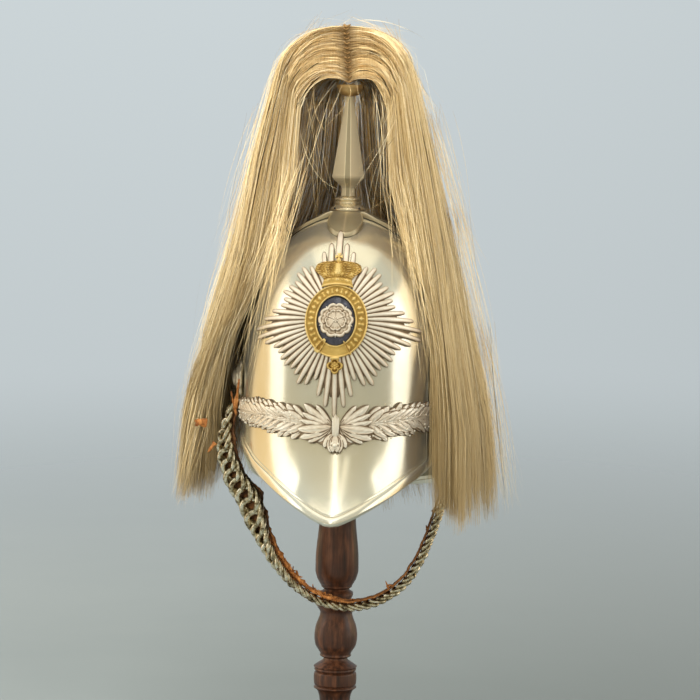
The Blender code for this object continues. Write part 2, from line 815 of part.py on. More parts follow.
def crosspiece(finish):
    """Four leaves laid over the crown, with a flat hub for the collar."""
    points = [Vector((0, 0, CROSS_HUB_TOP_Z))]
    points += [polar(phi, CROSS_HUB, CROSS_HUB_TOP_Z) for phi in around(CROSS_SIDES)]
    for share, lift in CROSS_TOP_ROWS:
        for phi in around(CROSS_SIDES):
            at = CROSS_HUB + (cross_reach(phi) - CROSS_HUB) * share
            points.append(polar(phi, at, dome_z(phi, at) + CROSS_BACK + CROSS_THICK * lift))
    for share, _ in reversed(CROSS_TOP_ROWS):
        for phi in around(CROSS_SIDES):
            at = cross_reach(phi) * share
            points.append(polar(phi, at, dome_z(phi, at) + CROSS_BACK))
    last = len(points)
    points.append(Vector((0, 0, SKULL_TOP_Z + CROSS_BACK)))
    rows = [[1 + r * CROSS_SIDES + i for i in range(CROSS_SIDES)] for r in range(7)]
    faces = bands(rows)
    for i in range(CROSS_SIDES):
        j = (i + 1) % CROSS_SIDES
        faces += [(0, rows[0][i], rows[0][j]), (last, rows[-1][j], rows[-1][i])]
    return add_object("crosspiece", points, faces, finish, 35)


def spike(finish):
    """Eight-sided spike, with wide facets and narrow ones between them."""
    points = []
    for z, half, narrow in SPIKE_ROWS:
        cut = half * narrow
        for a, b in ((1, 0), (0, 1), (-1, 0), (0, -1)):
            for along in (-cut, cut):
                points.append(Vector((a * half - b * along, b * half + a * along, z)))
    rows = [[r * 8 + i for i in range(8)] for r in range(len(SPIKE_ROWS))]
    faces = bands(rows) + [tuple(rows[0]), tuple(rows[-1])]
    return add_object("spike", points, faces, finish)


def boss(side, finish):
    """Round rosette boss whose axis runs out of the skull's side."""
    name = "boss_left" if side < 0 else "boss_right"

    def place(p):
        return Vector((side * (SKULL_HALF_WIDTH + p.z), p.x, BOSS_Z + p.y))

    return turned(name, BOSS_ROWS, BOSS_SIDES, finish, 40, place)


# Plume


def hair_spread(height, phi):
    """Inner and outer distance from the axis of the hanging hair, which keeps off the skull."""
    back = max(0.0, -math.cos(phi)) ** 2
    side_in, side_out, back_in, back_out = smooth_row(HANG, height)
    inner = side_in + (back_in - side_in) * back
    outer = side_out + (back_out - side_out) * back
    return max(inner, wall_radius(phi, height) + HAIR_OFF_SKULL), outer


def hair_azimuth(place, side, height):
    edge = smooth_row(FRONT_EDGE, height)[0 if side > 0 else 1]
    return math.radians(edge + (180 - edge) * place)


def hanging_point(place, depth, side, height):
    """A point of the hair below the shoulder. place 0 is the front edge, depth 0 the inside."""
    phi = hair_azimuth(place, side, height)
    inner, outer = hair_spread(height, phi)
    at = polar(side * phi, inner + (outer - inner) * depth, height)
    at.x += PLUME_LEAN * math.sin(phi)
    return at


def parting_point(place, depth):
    in_y, in_z, out_y, out_z = smooth_row(PARTING, place)
    z = in_z + (out_z - in_z) * depth
    lean = PLUME_LEAN * (z - PARTING_FOOT_Z) / (PARTING[0][4] - PARTING_FOOT_Z)
    return Vector((lean, in_y + (out_y - in_y) * depth, z))


def hair_path(place, depth, side, tip_z):
    """Points down one strand from the parting to its tip."""
    root = parting_point(place, depth)
    shoulder_z = SHOULDER_INNER[1] + (SHOULDER_OUTER[1] - SHOULDER_INNER[1]) * depth
    shoulder = hanging_point(place, depth, side, shoulder_z)
    outward = Vector((shoulder.x - root.x, shoulder.y - root.y, 0))
    leave = root + outward * PARTING_REACH + Vector((0, 0, PARTING_RISE))
    arrive = shoulder + Vector((0, 0, SHOULDER_RISE * (root.z - shoulder.z)))
    points = []
    for k in range(CROWN_STEPS):
        t = k / CROWN_STEPS
        points.append(
            root * (1 - t) ** 3
            + leave * 3 * t * (1 - t) ** 2
            + arrive * 3 * t * t * (1 - t)
            + shoulder * t**3
        )
    for k in range(HANG_STEPS + 1):
        height = shoulder_z + (tip_z - shoulder_z) * k / HANG_STEPS
        points.append(hanging_point(place, depth, side, height))
    return points


def plume_columns(side):
    """Strands that bound one side of the plume: up the inside, across the front, back outside."""
    columns = []
    places = [k / LOCKS for k in range(LOCKS + 1)]
    for place in reversed(places):
        columns.append(hair_path(place, 0.0, side, smooth_row(TIP_Z, place)[0] + INNER_SHORT))
    for k in range(FACE_COLUMNS):
        depth = (k + 1) / (FACE_COLUMNS + 1)
        columns.append(hair_path(0.0, depth, side, smooth_row(TIP_Z, 0)[0] + FACE_SHORT))
    for k, place in enumerate(places):
        middle = 0 < k < LOCKS
        ridge = LOCK_RIDGE * (1 if k % 2 else -1) if middle else 0.0
        drop = LOCK_STAGGER * (1 if k % 2 else -1) if middle else 0.0
        path = hair_path(place, 1.0, side, smooth_row(TIP_Z, place)[0] - drop)
        for n, p in enumerate(path):
            away = Vector((p.x, p.y, 0))
            if n > 1 and away.length > 0:
                p += away.normalized() * ridge * min(1.0, (n - 1) / CROWN_STEPS)
        columns.append(path)
    return columns


def plume(finish):
    """One body of locks from the parting to the ends, open at the front."""
    points, faces = [], []
    length = CROWN_STEPS + HANG_STEPS + 1
    for side in (-1, 1):
        columns = plume_columns(side)
        start = len(points)
        for column in columns:
            points += column
        rows = [[start + c * length + n for n in range(length)] for c in range(len(columns))]
        half = bands(rows, loop=False)
        tips = [row[-1] for row in rows]
        for k in range(LOCKS - 1):
            half.append((tips[k], tips[k + 1], tips[-2 - k], tips[-1 - k]))
        half.append(tuple(tips[LOCKS - 1 : LOCKS + FACE_COLUMNS + 3]))
        faces += half
    mesh = bpy.data.meshes.new("plume")
    mesh.from_pydata([tuple(p) for p in points], [], faces)
    work = bmesh.new()
    work.from_mesh(mesh)
    bmesh.ops.remove_doubles(work, verts=work.verts, dist=WELD)
    work.to_mesh(mesh)
    work.free()
    mesh.materials.append(finish)
    face_outwards(mesh)
    mesh.shade_smooth()
    obj = bpy.data.objects.new("plume", mesh)
    bpy.context.scene.collection.objects.link(obj)
    return obj


# Chin chain


def curve_point(route, share):
    """A point at a share of the way along a smooth curve through the route's points."""
    spans = len(route) - 1
    at = min(max(share, 0.0), 1.0) * spans
    i = min(int(at), spans - 1)
    t = at - i
    a, b, c, d = (Vector(route[min(max(i + k, 0), spans)]) for k in (-1, 0, 1, 2))
    square, cube = 2 * a - 5 * b + 4 * c - d, 3 * b - a - 3 * c + d
    return 0.5 * (2 * b + (c - a) * t + square * t**2 + cube * t**3)


def chain_frame(share):
    """Middle, direction, flat side, inner side, width and thickness of the chain at a share."""
    step = 0.002
    middle = curve_point(CHAIN_ROUTE, share)
    ahead = curve_point(CHAIN_ROUTE, share + step) - curve_point(CHAIN_ROUTE, share - step)
    ahead.normalize()
    turn, width, thick = smooth_row(CHAIN_TWIST, share)
    flat = Vector((0, 1, 0))
    flat = (flat - ahead * flat.dot(ahead)).normalized()
    inner = flat.cross(ahead) * -1
    turn = math.radians(turn)
    flat, inner = (
        flat * math.cos(turn) + inner * math.sin(turn),
        inner * math.cos(turn) - flat * math.sin(turn),
    )
    return middle, ahead, flat, inner, width, thick


def ribbon(name, shares, section, finish, sharp_deg=40):
    """A strip along the chain. section gives points as (flat, inner) from width and thickness."""
    points = []
    for share in shares:
        middle, _, flat, inner, width, thick = chain_frame(share)
        corners = section(width, thick)
        points += [middle + flat * a + inner * b for a, b in corners]
    size = len(corners)
    rows = [[k * size + i for i in range(size)] for k in range(len(shares))]
    faces = bands(rows) + [tuple(rows[0]), tuple(rows[-1])]
    return add_object(name, points, faces, finish, sharp_deg)


def link_shares():
    """Shares of the route at which links stand, a pitch apart along the curve."""
    fine = 600
    shares, travelled, wanted = [], 0.0, LINK_PITCH * 0.4
    last = curve_point(CHAIN_ROUTE, 0)
    for k in range(1, fine + 1):
        share = LINKED_SHARE * k / fine
        at = curve_point(CHAIN_ROUTE, share)
        travelled += (at - last).length
        last = at
        if travelled >= wanted:
            shares.append(share)
            wanted += LINK_PITCH
    return shares


def link(share):
    """One oval ring of a curb chain, twisted over one side of the next and under the other."""
    middle, ahead, flat, inner, width, _ = chain_frame(share)
    half_long, half_wide = LINK_PITCH * LINK_REACH, width / 2 - LINK_WIRE
    points = []
    for angle in around(LINK_SIDES):
        spoke = ahead * math.cos(angle) * half_long + flat * math.sin(angle) * half_wide
        away = spoke.normalized()
        lift = inner * LINK_TWIST * math.sin(2 * angle)
        for turn in around(WIRE_SIDES):
            offset = (away * math.cos(turn) + inner * math.sin(turn)) * LINK_WIRE
            points.append(middle + spoke + lift + offset)
    rows = [[k * WIRE_SIDES + i for i in range(WIRE_SIDES)] for k in range(LINK_SIDES)]
    return points, bands(rows + [rows[0]])


def chain_links(finish):
    """The wide, linked end of the chain: its first ring, fused to the others, and those rings."""
    helpers = bpy.data.collections.new("chain_helpers")
    bpy.context.scene.collection.children.link(helpers)
    rings = []
    for k, share in enumerate(link_shares()):
        points, faces = link(share)
        rings.append(add_object(f"chain_ring_{k}" if k else "chain_links", points, faces, finish))
    for ring in rings[1:]:
        bpy.context.scene.collection.objects.unlink(ring)
        helpers.objects.link(ring)
        ring.hide_render = True
        ring.display_type = "WIRE"
    join = rings[0].modifiers.new("join", "BOOLEAN")
    join.operation = "UNION"
    join.operand_type = "COLLECTION"
    join.collection = helpers
    join.solver = "EXACT"
    return rings


def chain_band(finish):
    """The fine run of the chain as one flat solid with rounded sides."""

    def section(width, thick):
        half, rise = width / 2, thick / 2
        corners = ((1, -BAND_EDGE), (1, BAND_EDGE), (BAND_FLAT, 1), (-BAND_FLAT, 1))
        return [(half * a, rise * b) for a, b in corners] + [
            (-half * a, -rise * b) for a, b in corners
        ]

    start = LINKED_SHARE + BAND_GAP
    shares = [start + (1 - start) * k / BAND_POINTS for k in range(BAND_POINTS + 1)]
    return ribbon("chain_band", shares, section, finish)


def chain_leather(finish):
    """Leather backing on the inner side of the chain."""

    def section(width, thick):
        half = width / 2 * LEATHER_WIDTH
        near = thick / 2 + LEATHER_OFF
        far = near + LEATHER_THICK
        return [(half, near), (half, far), (-half, far), (-half, near)]

    start, end = LEATHER_RUN
    shares = [start + (end - start) * k / LEATHER_POINTS for k in range(LEATHER_POINTS + 1)]
    return ribbon("chain_leather", shares, section, finish)


def helmet():
    silver = material("silver_plate", (0.86, 0.82, 0.70), 0.16, 1.0)
    worn_silver = material("worn_silver", (0.72, 0.66, 0.54), 0.30, 1.0)
    gilt = material("gilt", (0.83, 0.60, 0.22), 0.26, 1.0)
    enamel = material("enamel", (0.02, 0.022, 0.035), 0.12, 0.0)
    hair = material("horsehair", (0.60, 0.46, 0.26), 0.55, 0.0)
    steel = material("chain_metal", (0.52, 0.50, 0.42), 0.34, 1.0)
    leather = material("leather", (0.55, 0.24, 0.07), 0.75, 0.0)
    return [
        skull(silver),
        peak_binding(silver),
        star_plate(worn_silver),
        belt_ring(gilt),
        enamel_oval(enamel),
        rose(worn_silver),
        belt_drop(gilt),
        crown(gilt),
        wreath(worn_silver),
        crosspiece(silver),
        turned("spike_collar", COLLAR_ROWS, METAL_SIDES, silver, 35),
        spike(silver),
        turned("plume_cup", CUP_ROWS, METAL_SIDES, gilt, 35),
        plume(hair),
        boss(-1, gilt),
        boss(1, gilt),
        *chain_links(steel),
        chain_band(steel),
        chain_leather(leather),
    ]


def stand():
    wood = material("turned_wood", (0.13, 0.050, 0.028), 0.38, 0.0)
    return [
        turned("stand_base", BASE_ROWS, BASE_SIDES, wood, 35),
        turned("stand_pole", POLE_ROWS, POLE_SIDES, wood, 35),
        turned("stand_head", HEAD_ROWS, HEAD_SIDES, wood, 35),
    ]


def main():
    clear_scene()
    for name, x, pieces in (("helmet", HELMET_X, helmet()), ("stand", 0.0, stand())):
        hanger = carrier(name, x)
        for piece in pieces:
            piece.parent = hanger


main()
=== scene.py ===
"""Looks of the cavalry helmet on its stand: metalwork, hair, chain, leather and wood round the frame.

Metres, +Z up. Helmet pieces are worked out round the helmet's own axis and then moved to it.
Azimuths are measured from the front (-Y) towards +X.
"""

import math

import bmesh
import bpy
import numpy as np
from mathutils import Matrix, Vector

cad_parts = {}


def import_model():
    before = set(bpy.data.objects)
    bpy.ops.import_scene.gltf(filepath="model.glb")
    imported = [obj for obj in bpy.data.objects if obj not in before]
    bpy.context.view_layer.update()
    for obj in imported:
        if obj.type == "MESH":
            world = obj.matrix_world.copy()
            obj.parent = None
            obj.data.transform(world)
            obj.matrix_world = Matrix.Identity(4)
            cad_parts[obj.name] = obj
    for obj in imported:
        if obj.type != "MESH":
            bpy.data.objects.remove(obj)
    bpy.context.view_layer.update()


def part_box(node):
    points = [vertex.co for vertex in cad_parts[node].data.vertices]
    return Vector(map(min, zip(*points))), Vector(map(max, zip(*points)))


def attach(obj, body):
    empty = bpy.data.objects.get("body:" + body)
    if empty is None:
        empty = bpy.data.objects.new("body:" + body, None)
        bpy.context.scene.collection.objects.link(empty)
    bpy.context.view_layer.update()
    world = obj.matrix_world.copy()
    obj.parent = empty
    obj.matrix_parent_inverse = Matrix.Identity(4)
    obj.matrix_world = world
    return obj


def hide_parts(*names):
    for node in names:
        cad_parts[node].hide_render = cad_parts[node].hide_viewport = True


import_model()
HELMET_X = sum(corner.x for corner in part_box("spike")) / 2
RANDOM = np.random.default_rng(7)
SILVER, WORN, GILT, WOOD = "silver_plate", "worn_silver", "gilt", "turned_wood"
SIDES = ((-1, "left"), (1, "right"))
BALL_POLE = 0.12  # angle from a ball's pole to its first ring

# Colours of materials between stops: place, red, green and blue
# The worn and gilt colours run from the hollows to what stands out: their dark low stops are tarnish and
# grime with painted shade
WORN_STOPS = (
    (0.0, 0.11, 0.066, 0.03), (0.34, 0.37, 0.27, 0.17), (0.66, 0.7, 0.58, 0.43),
    (1.0, 0.93, 0.86, 0.72),
)
GILT_STOPS = (
    (0.0, 0.13, 0.065, 0.016), (0.4, 0.46, 0.28, 0.065), (0.8, 0.78, 0.53, 0.16),
    (1.0, 0.95, 0.72, 0.3),
)
HAIR_STOPS = (
    (0.0, 0.3, 0.175, 0.055), (0.3, 0.66, 0.465, 0.21), (0.62, 0.85, 0.66, 0.345),
    (1.0, 0.98, 0.86, 0.6),
)
# Inner hair: its own greyer tone, painted paler as light inside the plume, with its palest bluish stops
# painted glints of the pale background
INNER_HAIR_AND_GLINT_STOPS = (
    (0.0, 0.4, 0.23, 0.06), (0.42, 0.82, 0.57, 0.24), (0.56, 0.9, 0.76, 0.5),
    (0.66, 0.88, 0.93, 1.0),
)
CHAIN_STOPS = (
    (0.35, 0.08, 0.05, 0.025), (0.45, 0.46, 0.38, 0.23), (0.55, 0.91, 0.82, 0.6),
    (0.7, 1.0, 0.95, 0.8),
)
LEATHER_STOPS = (
    (0.36, 0.055, 0.02, 0.008), (0.47, 0.26, 0.09, 0.02), (0.57, 0.5, 0.21, 0.06),
    (0.72, 0.74, 0.42, 0.18),
)

# Skull, as in the frame
SKULL_TOP_Z = 0.475
EQUATOR_Z = 0.360
BROW_Z = 0.325
SKULL_HALF_WIDTH = 0.085
SKULL_FRONT = 0.105
SKULL_REAR = 0.108
SKULL_WALL = 0.0012
DOME_RISE = SKULL_TOP_Z - EQUATOR_Z
FLARE_START = 0.55
STRAIGHT_SHARES = (0.35, 0.7)  # rows of points on the straight band between the equator and the brow
RIM = (  # azimuth in degrees, distance from the axis, height
    (0, 0.15, 0.2346), (6, 0.1438, 0.239), (11, 0.1363, 0.244), (20, 0.1211, 0.251),
    (28, 0.1109, 0.257), (35, 0.104, 0.2615), (48, 0.0942, 0.268), (60, 0.0892, 0.275),
    (80, 0.0862, 0.284), (90, 0.086, 0.286), (100, 0.0875, 0.277), (112, 0.092, 0.262),
    (125, 0.099, 0.248), (132, 0.105, 0.2434), (145, 0.121, 0.2385), (158, 0.14, 0.2336),
    (170, 0.155, 0.231), (180, 0.16, 0.23),
)
SKULL_COLUMNS = 180
DOME_STEPS = 30
FLARE_STEPS = 22
BINDING_SECTION = (  # along the wall past the rim, out of the wall
    (-0.0092, 0.0002), (-0.0089, 0.0006), (-0.0084, 0.0007), (-0.008, 0.0005), (-0.0068, 0.0005),
    (-0.0065, 0.0015), (-0.0061, 0.0018), (-0.003, 0.0018), (0.0008, 0.0018), (0.0015, 0.0012),
    (0.0018, 0.0), (0.0018, -0.0014), (0.0014, -0.0026), (0.0006, -0.003), (-0.003, -0.003),
    (-0.003, -0.0022),
)

# Star plate and badge, in the plate's plane: u across, v up, w out
STAR_Z = 0.3925
STAR_X = -0.0015
PLATE_DEPTHS = (-0.004, 0.090)  # how far in from the plate's plane the skull can lie
PLATE_HALVINGS = 26
RAY_COUNT = 56
CROWN_RAYS = (  # across, height of the tip, half width of the broad rays that show over the crown
    (-0.0128, 0.0608, 0.0022), (0.0118, 0.0608, 0.0022), (-0.0072, 0.069, 0.0026),
    (0.0058, 0.069, 0.0026), (-0.0006, 0.0822, 0.003),
)
CROWN_RAY_FOOT = 0.045
CROWN_RAY_HEIGHT = 0.0016
STAR_OUTLINE = (  # angle from the top in degrees, reach of the rays
    (0, 0.05), (15, 0.05), (22, 0.054), (28, 0.053), (34, 0.058), (46, 0.0495), (57, 0.054),
    (68, 0.047), (93, 0.071), (112, 0.0525), (127, 0.0545), (138, 0.051), (150, 0.06),
    (161, 0.0495), (167, 0.061), (180, 0.0762),
)
RAY_NOTCH = 0.88
STAR_HUB = 0.024
STAR_GROUND_ROWS = 7
STAR_BACK = 0.0022
STAR_VALLEY = 0.0029
RAY_HEIGHT = 0.0017
RAY_SHARE = 0.45  # half a ray's width, as a share of the pitch between rays
RAY_WIDEST = 0.0023
RAY_TIP_LEAST = 0.12  # width left at a ray's very tip, as a share
BELT_OUTER = (0.0255, 0.0299)
BELT_INNER = (0.0156, 0.0205)
BELT_BACK = 0.0044
BELT_TOP = 0.0068
BELT_RIM = (  # share of the belt's width, depth under its top
    (0.0, 0.0006), (0.03, 0.0001), (0.07, 0.0), (0.11, 0.0002), (0.14, 0.0009),
)
BELT_RIM_DEPTH = 0.0007  # what lies deeper is ground
BELT_GROUND = (0.16, 0.84)
BELT_GROUND_DEPTH = 0.0010
BELT_GROUND_ROWS = 15
BELT_RELIEF = 0.0008
BUCKLE = (  # angle, half arc and wire radius of the frame, then of the keeper
    (math.pi + 0.62, 0.085, 0.0009), (math.pi - 0.5, 0.035, 0.0008),
)
BELT_UNITS = 34  # lozenges and bead pairs round the belt
BELT_MEAN_RADIUS = 0.0228
BELT_PLAIN = 0.50  # half the arc of the plain overlap at the bottom
ENAMEL_EDGE = 0.0052
ENAMEL_DOME = 0.0058
ROSE_RADIUS = 0.0145
ROSE_INNER = 0.0090
ROSE_SEED = 0.0026
ROSE_BACK = 0.0066
CROWN_BACK = 0.0044
CROWN_DROP = 0.0026  # how far the whole crown sits below its rows
CROWN_ROWS = (  # height above the plate's centre, half width, relief
    (0.0306, 0.0128, 0.0018), (0.034, 0.012, 0.0022), (0.0372, 0.0114, 0.0024),
    (0.0388, 0.012, 0.0022), (0.043, 0.0164, 0.003), (0.0465, 0.019, 0.0034),
    (0.05, 0.0182, 0.0034), (0.0522, 0.016, 0.003), (0.0534, 0.012, 0.0024),
    (0.0541, 0.004, 0.0016),
)
CROWN_CORD_V = 0.0314
CROWN_BAND_TOP_V = 0.0376
CROWN_ARCH_FOOT_V = 0.0382
CROWN_ARCHES = (-0.93, -0.50, 0.50, 0.93)  # share of the half width at their feet
CROWN_JEWELS = ((-0.66, 0.0, 0.66), 0.0358, 0.0124, 1.0, 0.0012)  # places, height, scales, size
CROWN_SEEDS = ((-0.88, -0.33, 0.33, 0.88), 0.0358, 0.0124, 1.0, 0.0006)
CROWN_LILY = ((0,), 0.0420, 0.0160, 0.8, 0.0022)
CROWN_SPRIGS = ((-0.72, -0.27, 0.27, 0.72), 0.0412, 0.0160, 0.9, 0.0013)
CROWN_ORB_V = 0.0541
CROWN_ORB_RADIUS = 0.0021
CROWN_CROSS_V = 0.0580
CROWN_CROSS_ARM = 0.0030
DROP_CENTRE_V = -0.0362
DROP_RADIUS = 0.0062
DROP_BAR_HALF = 0.0036
DROP_BAR_RISE = 0.0056  # from the ornament's middle up to its bar

# Leaf wreath
WREATH = (  # azimuth in degrees, lower edge, upper edge
    (0, 0.287, 0.312), (4.4, 0.2885, 0.3135), (8.9, 0.2905, 0.327), (30, 0.296, 0.3285),
    (55, 0.3, 0.324), (80, 0.301, 0.321),
)
WREATH_BACK = 0.0016
LEAF_STATIONS = (  # azimuth where a group of leaves springs, length, width
    (11.0, 0.02, 0.0088), (22.0, 0.0195, 0.0086), (45.0, 0.018, 0.0078), (78.0, 0.014, 0.006),
)
LEAF_PITCH_DEG = 4.0
LEAF_RISE = 0.0013
LEAF_SLANTS = (  # slant from the stem in degrees, share of the full length, lift
    (-62, 0.9, 0.0), (64, 0.9, 0.0001), (-14, 0.8, 0.0002), (16, 0.84, 0.0004), (-40, 1.0, 0.0007),
    (42, 1.0, 0.0008),
)
FAN_LEAVES = (  # slant in degrees, length, width, lift
    (46, 0.021, 0.008, 0.0004), (-58, 0.0165, 0.007, 0.0004), (30, 0.029, 0.0098, 0.0008),
    (16, 0.027, 0.007, 0.0013), (-42, 0.023, 0.0078, 0.0012), (3, 0.027, 0.0066, 0.0018),
    (-28, 0.028, 0.0096, 0.0017), (-13, 0.0285, 0.01, 0.0022),
)
FAN_AT = (1.6, 0.3085)  # azimuth in degrees and height that the fanned leaves spring from
KNOT_LEAVES = (  # slant in degrees, length, bend
    (-158, 0.0135, 0.5), (-22, 0.0135, -0.5), (-132, 0.0145, 0.5), (-48, 0.0145, -0.5),
    (-108, 0.014, 0.2), (-72, 0.014, -0.2), (-90, 0.012, 0.0),
)
KNOT_Z = 0.3020
KNOT_WIDTH = 0.0078
BUD_Z = 0.3075
BUD_PITCH = 0.0010
BUD_BEADS = (  # across, height, radius
    (0, 0.2935, 0.0019), (-0.0022, 0.295, 0.0011), (0.0022, 0.295, 0.0011),
)

# Crosspiece and what stands on it
CROSS_HUB = 0.0150
CROSS_REACH = 0.050
CROSS_FRONT_REACH = 0.0550
CROSS_WAIST = 0.0165
CROSS_BACK = 0.0016
CROSS_THICK = 0.0022
CROSS_HUB_TOP_Z = 0.4790
VENT_REACH = 0.0146
VENT_RADIUS = 0.0010
VENT_RISE = 0.0014  # over the hub's top
COLLAR_ROWS = (  # radius, height
    (0.015, 0.4788), (0.015, 0.4802), (0.0118, 0.4828), (0.0106, 0.4838), (0.0116, 0.4843),
    (0.0117, 0.4856), (0.0106, 0.4861), (0.0104, 0.4867), (0.0114, 0.4872), (0.0114, 0.4888),
    (0.0102, 0.4893), (0.008, 0.4896), (0.007, 0.4904),
)
SPIKE_ROWS = (  # height, half the width across the flats, share of it that the narrow facets take
    (0.4907, 0.0056, 0.36), (0.4974, 0.0052, 0.36), (0.499, 0.006, 0.32), (0.501, 0.0082, 0.26),
    (0.5034, 0.0112, 0.22), (0.5057, 0.0132, 0.19), (0.5074, 0.0134, 0.19), (0.553, 0.0062, 0.27),
    (0.5737, 0.0029, 0.34),
)
SPIKE_EDGE = 0.0005
# Painted highlights on the spike's edges and painted shade on its narrow facets
SPIKE_PAINTED_LIGHT = (0.72, 1.0, 0.06, 0.06, 1.0, 0.72)  # brightness over the edges of one broad facet
CUP_ROWS = (
    (0.003, 0.5738), (0.0072, 0.5748), (0.0098, 0.5775), (0.0105, 0.58), (0.0112, 0.5812),
    (0.0113, 0.5836), (0.01, 0.5838),
)
BOSS_Z = 0.336
BOSS_ROWS = (  # radius, distance out from the skull's side
    (0.013, 0.0004), (0.0165, 0.0012), (0.0168, 0.0024), (0.0158, 0.0034), (0.012, 0.004),
    (0.0112, 0.0062), (0.008, 0.007), (0.0066, 0.0094), (0.003, 0.0104),
)
BOSS_EYE = 0.009  # the petals begin outside this radius

# Plume
PARTING = (  # place along the parting, depth and height of the inner line, then of the outer line
    (0.0, -0.0115, 0.586, -0.004, 0.631), (0.5, 0.002, 0.5842, 0.012, 0.6325),
    (1.0, 0.013, 0.5845, 0.033, 0.623),
)
PARTING_REACH = 0.60  # how far out a wisp heads as it leaves, as a share of the way to its shoulder
PARTING_RISE = 0.016  # how far up it heads there, less for the outer hair
PARTING_FOOT_Z = 0.5840
SHOULDER_RISE = 0.50  # length of the bend above the shoulder, as a share of the rise to the parting
SHOULDER_SLOPE = 0.30  # how far the hair leans in along that bend
SHOULDER_INNER_Z = 0.568
SHOULDER_OUTER_Z = 0.590
SHOULDER_VARIES = 0.004
HANG = (  # height, side inner, side outer, back inner, back outer
    (0.59, 0.0385, 0.056, 0.033, 0.056), (0.56, 0.042, 0.0665, 0.035, 0.067),
    (0.529, 0.044, 0.0718, 0.04, 0.077), (0.487, 0.048, 0.0806, 0.05, 0.09),
    (0.46, 0.057, 0.0874, 0.07, 0.101), (0.4375, 0.066, 0.0955, 0.0855, 0.11),
    (0.403, 0.088, 0.1045, 0.104, 0.123), (0.361, 0.099, 0.1155, 0.112, 0.134),
    (0.34, 0.102, 0.123, 0.113, 0.139), (0.3, 0.104, 0.1315, 0.119, 0.148),
    (0.28, 0.105, 0.1345, 0.13, 0.156), (0.26, 0.106, 0.1365, 0.148, 0.168),
    (0.245, 0.107, 0.1375, 0.164, 0.18), (0.2, 0.111, 0.1385, 0.176, 0.19),
)
FRONT_EDGE = (  # height, azimuth in degrees of the front edge on the +X side, on the -X side
    (0.59, 70, 72), (0.53, 68, 70), (0.45, 63, 60), (0.405, 58, 56), (0.385, 57, 60),
    (0.372, 56, 66), (0.36, 55, 75), (0.345, 55, 84), (0.32, 54, 93), (0.29, 53, 100),
    (0.2, 50, 101),
)
TIP_Z = ((0.0, 0.232), (0.5, 0.238), (1.0, 0.214))  # place from front to back, height of the hair's ends
TIP_LOCK_VARIES = 0.006  # for each lock
TIP_INNER_RISE = 0.010  # how much higher the innermost hair ends
TIP_VARIES = 0.024  # how much higher single wisps end, as a spread
TIP_BELOW = 0.009  # how far below its lock's height the longest wisp ends
SHORT_SHARE = 0.10  # share of the wisps that end higher still
SHORT_BY = (0.01, 0.12)
WANDER = (0.0016, 0.0012)  # sideways waves of each wisp, and of each lock
PLUME_LEAN = -0.0038  # shift of the hair to one side, most where it hangs at the sides
PLUME_SWAY = -0.0035  # the same for the lower half alone
PLUME_HEART = (0.0, 0.055, 0.470)  # the middle that the plume's round form is shaded from
STRAY_ARCS = (  # where loose hairs start and end, how far the ends and the bow vary, number on each side
    ((0.012, -0.012, 0.586), (0.032, -0.02, 0.545), 0.008, 0.012, 7),
    ((0.03, -0.02, 0.575), (0.036, -0.038, 0.48), 0.009, 0.008, 8),
    ((0.038, -0.024, 0.545), (0.01, -0.05, 0.49), 0.01, 0.008, 5),
    ((0.042, -0.034, 0.52), (0.062, -0.072, 0.41), 0.008, 0.006, 34),
    ((0.05, -0.044, 0.48), (0.074, -0.07, 0.35), 0.008, 0.006, 34),
    ((0.002, 0.005, 0.634), (0.045, 0.01, 0.62), 0.006, 0.004, 30),
    ((0.026, -0.005, 0.63), (0.07, 0.0, 0.555), 0.006, 0.006, 50),
    ((0.068, 0.0, 0.56), (0.102, 0.005, 0.44), 0.006, 0.008, 60),
    ((0.088, 0.0, 0.48), (0.124, 0.005, 0.34), 0.006, 0.009, 70),
    ((0.112, 0.005, 0.38), (0.139, 0.01, 0.232), 0.006, 0.008, 80),
)
STRAY_STRANDS = 420  # on each side
STRAY_LIMIT = 0.152
REAR_LIMIT = 0.203
HAIR_OFF_SKULL = 0.0055
ROOT_POINTS = 8
HANG_POINTS = 6
STRANDS_OUTER = 7200  # on each side
STRANDS_INNER = 3600
WISP_WIDTH = 0.00080  # a flat wisp of a few hairs side by side
HAIR_WIDTH = 0.00026
OWN_SHARE = 0.35  # how far a wisp is shaded by its own lie and not by the plume's round form
WISP_LIE = 0.5  # how much the wisps' lie varies
TUFTS = 220  # groups that leave the parting together
FACE_TUFTS = 9  # of these, the ones at the front edge
FACE_SHARE = 0.15  # share of the wisps that lie in them
LOCKS = 90  # groups whose ends hang together
DARK_SHARE = 0.05
STITCHES = 52
PARTING_FRONT = 0.45  # share of the stitches that run up the parting's front end

# Chin chain
CHAIN_ROUTE = (
    (-0.0925, -0.001, 0.3165), (-0.099, -0.003, 0.299), (-0.1005, -0.007, 0.278),
    (-0.0925, -0.011, 0.2545), (-0.079, -0.015, 0.2335), (-0.0705, -0.0185, 0.2125),
    (-0.06, -0.022, 0.1912), (-0.048, -0.025, 0.1741), (-0.033, -0.0275, 0.1601),
    (-0.015, -0.029, 0.1505), (0.0057, -0.0295, 0.147), (0.026, -0.029, 0.15),
    (0.0425, -0.0275, 0.1577), (0.057, -0.025, 0.1705), (0.0682, -0.022, 0.1886),
    (0.0762, -0.0185, 0.2081), (0.0822, -0.015, 0.226), (0.0895, -0.011, 0.25),
    (0.0955, -0.007, 0.278), (0.0965, -0.003, 0.299), (0.094, -0.001, 0.3165),
)
CHAIN_TWIST = (  # share of the route, turn of the flat side in degrees, width
    (0.0, 0, 0.02), (0.07, -25, 0.0175), (0.13, -62, 0.019), (0.2, -62, 0.025), (0.24, -55, 0.0235),
    (0.29, -40, 0.0165), (0.4, -14, 0.014), (0.5, 0, 0.013), (0.8, 0, 0.0135), (1.0, 0, 0.015),
)
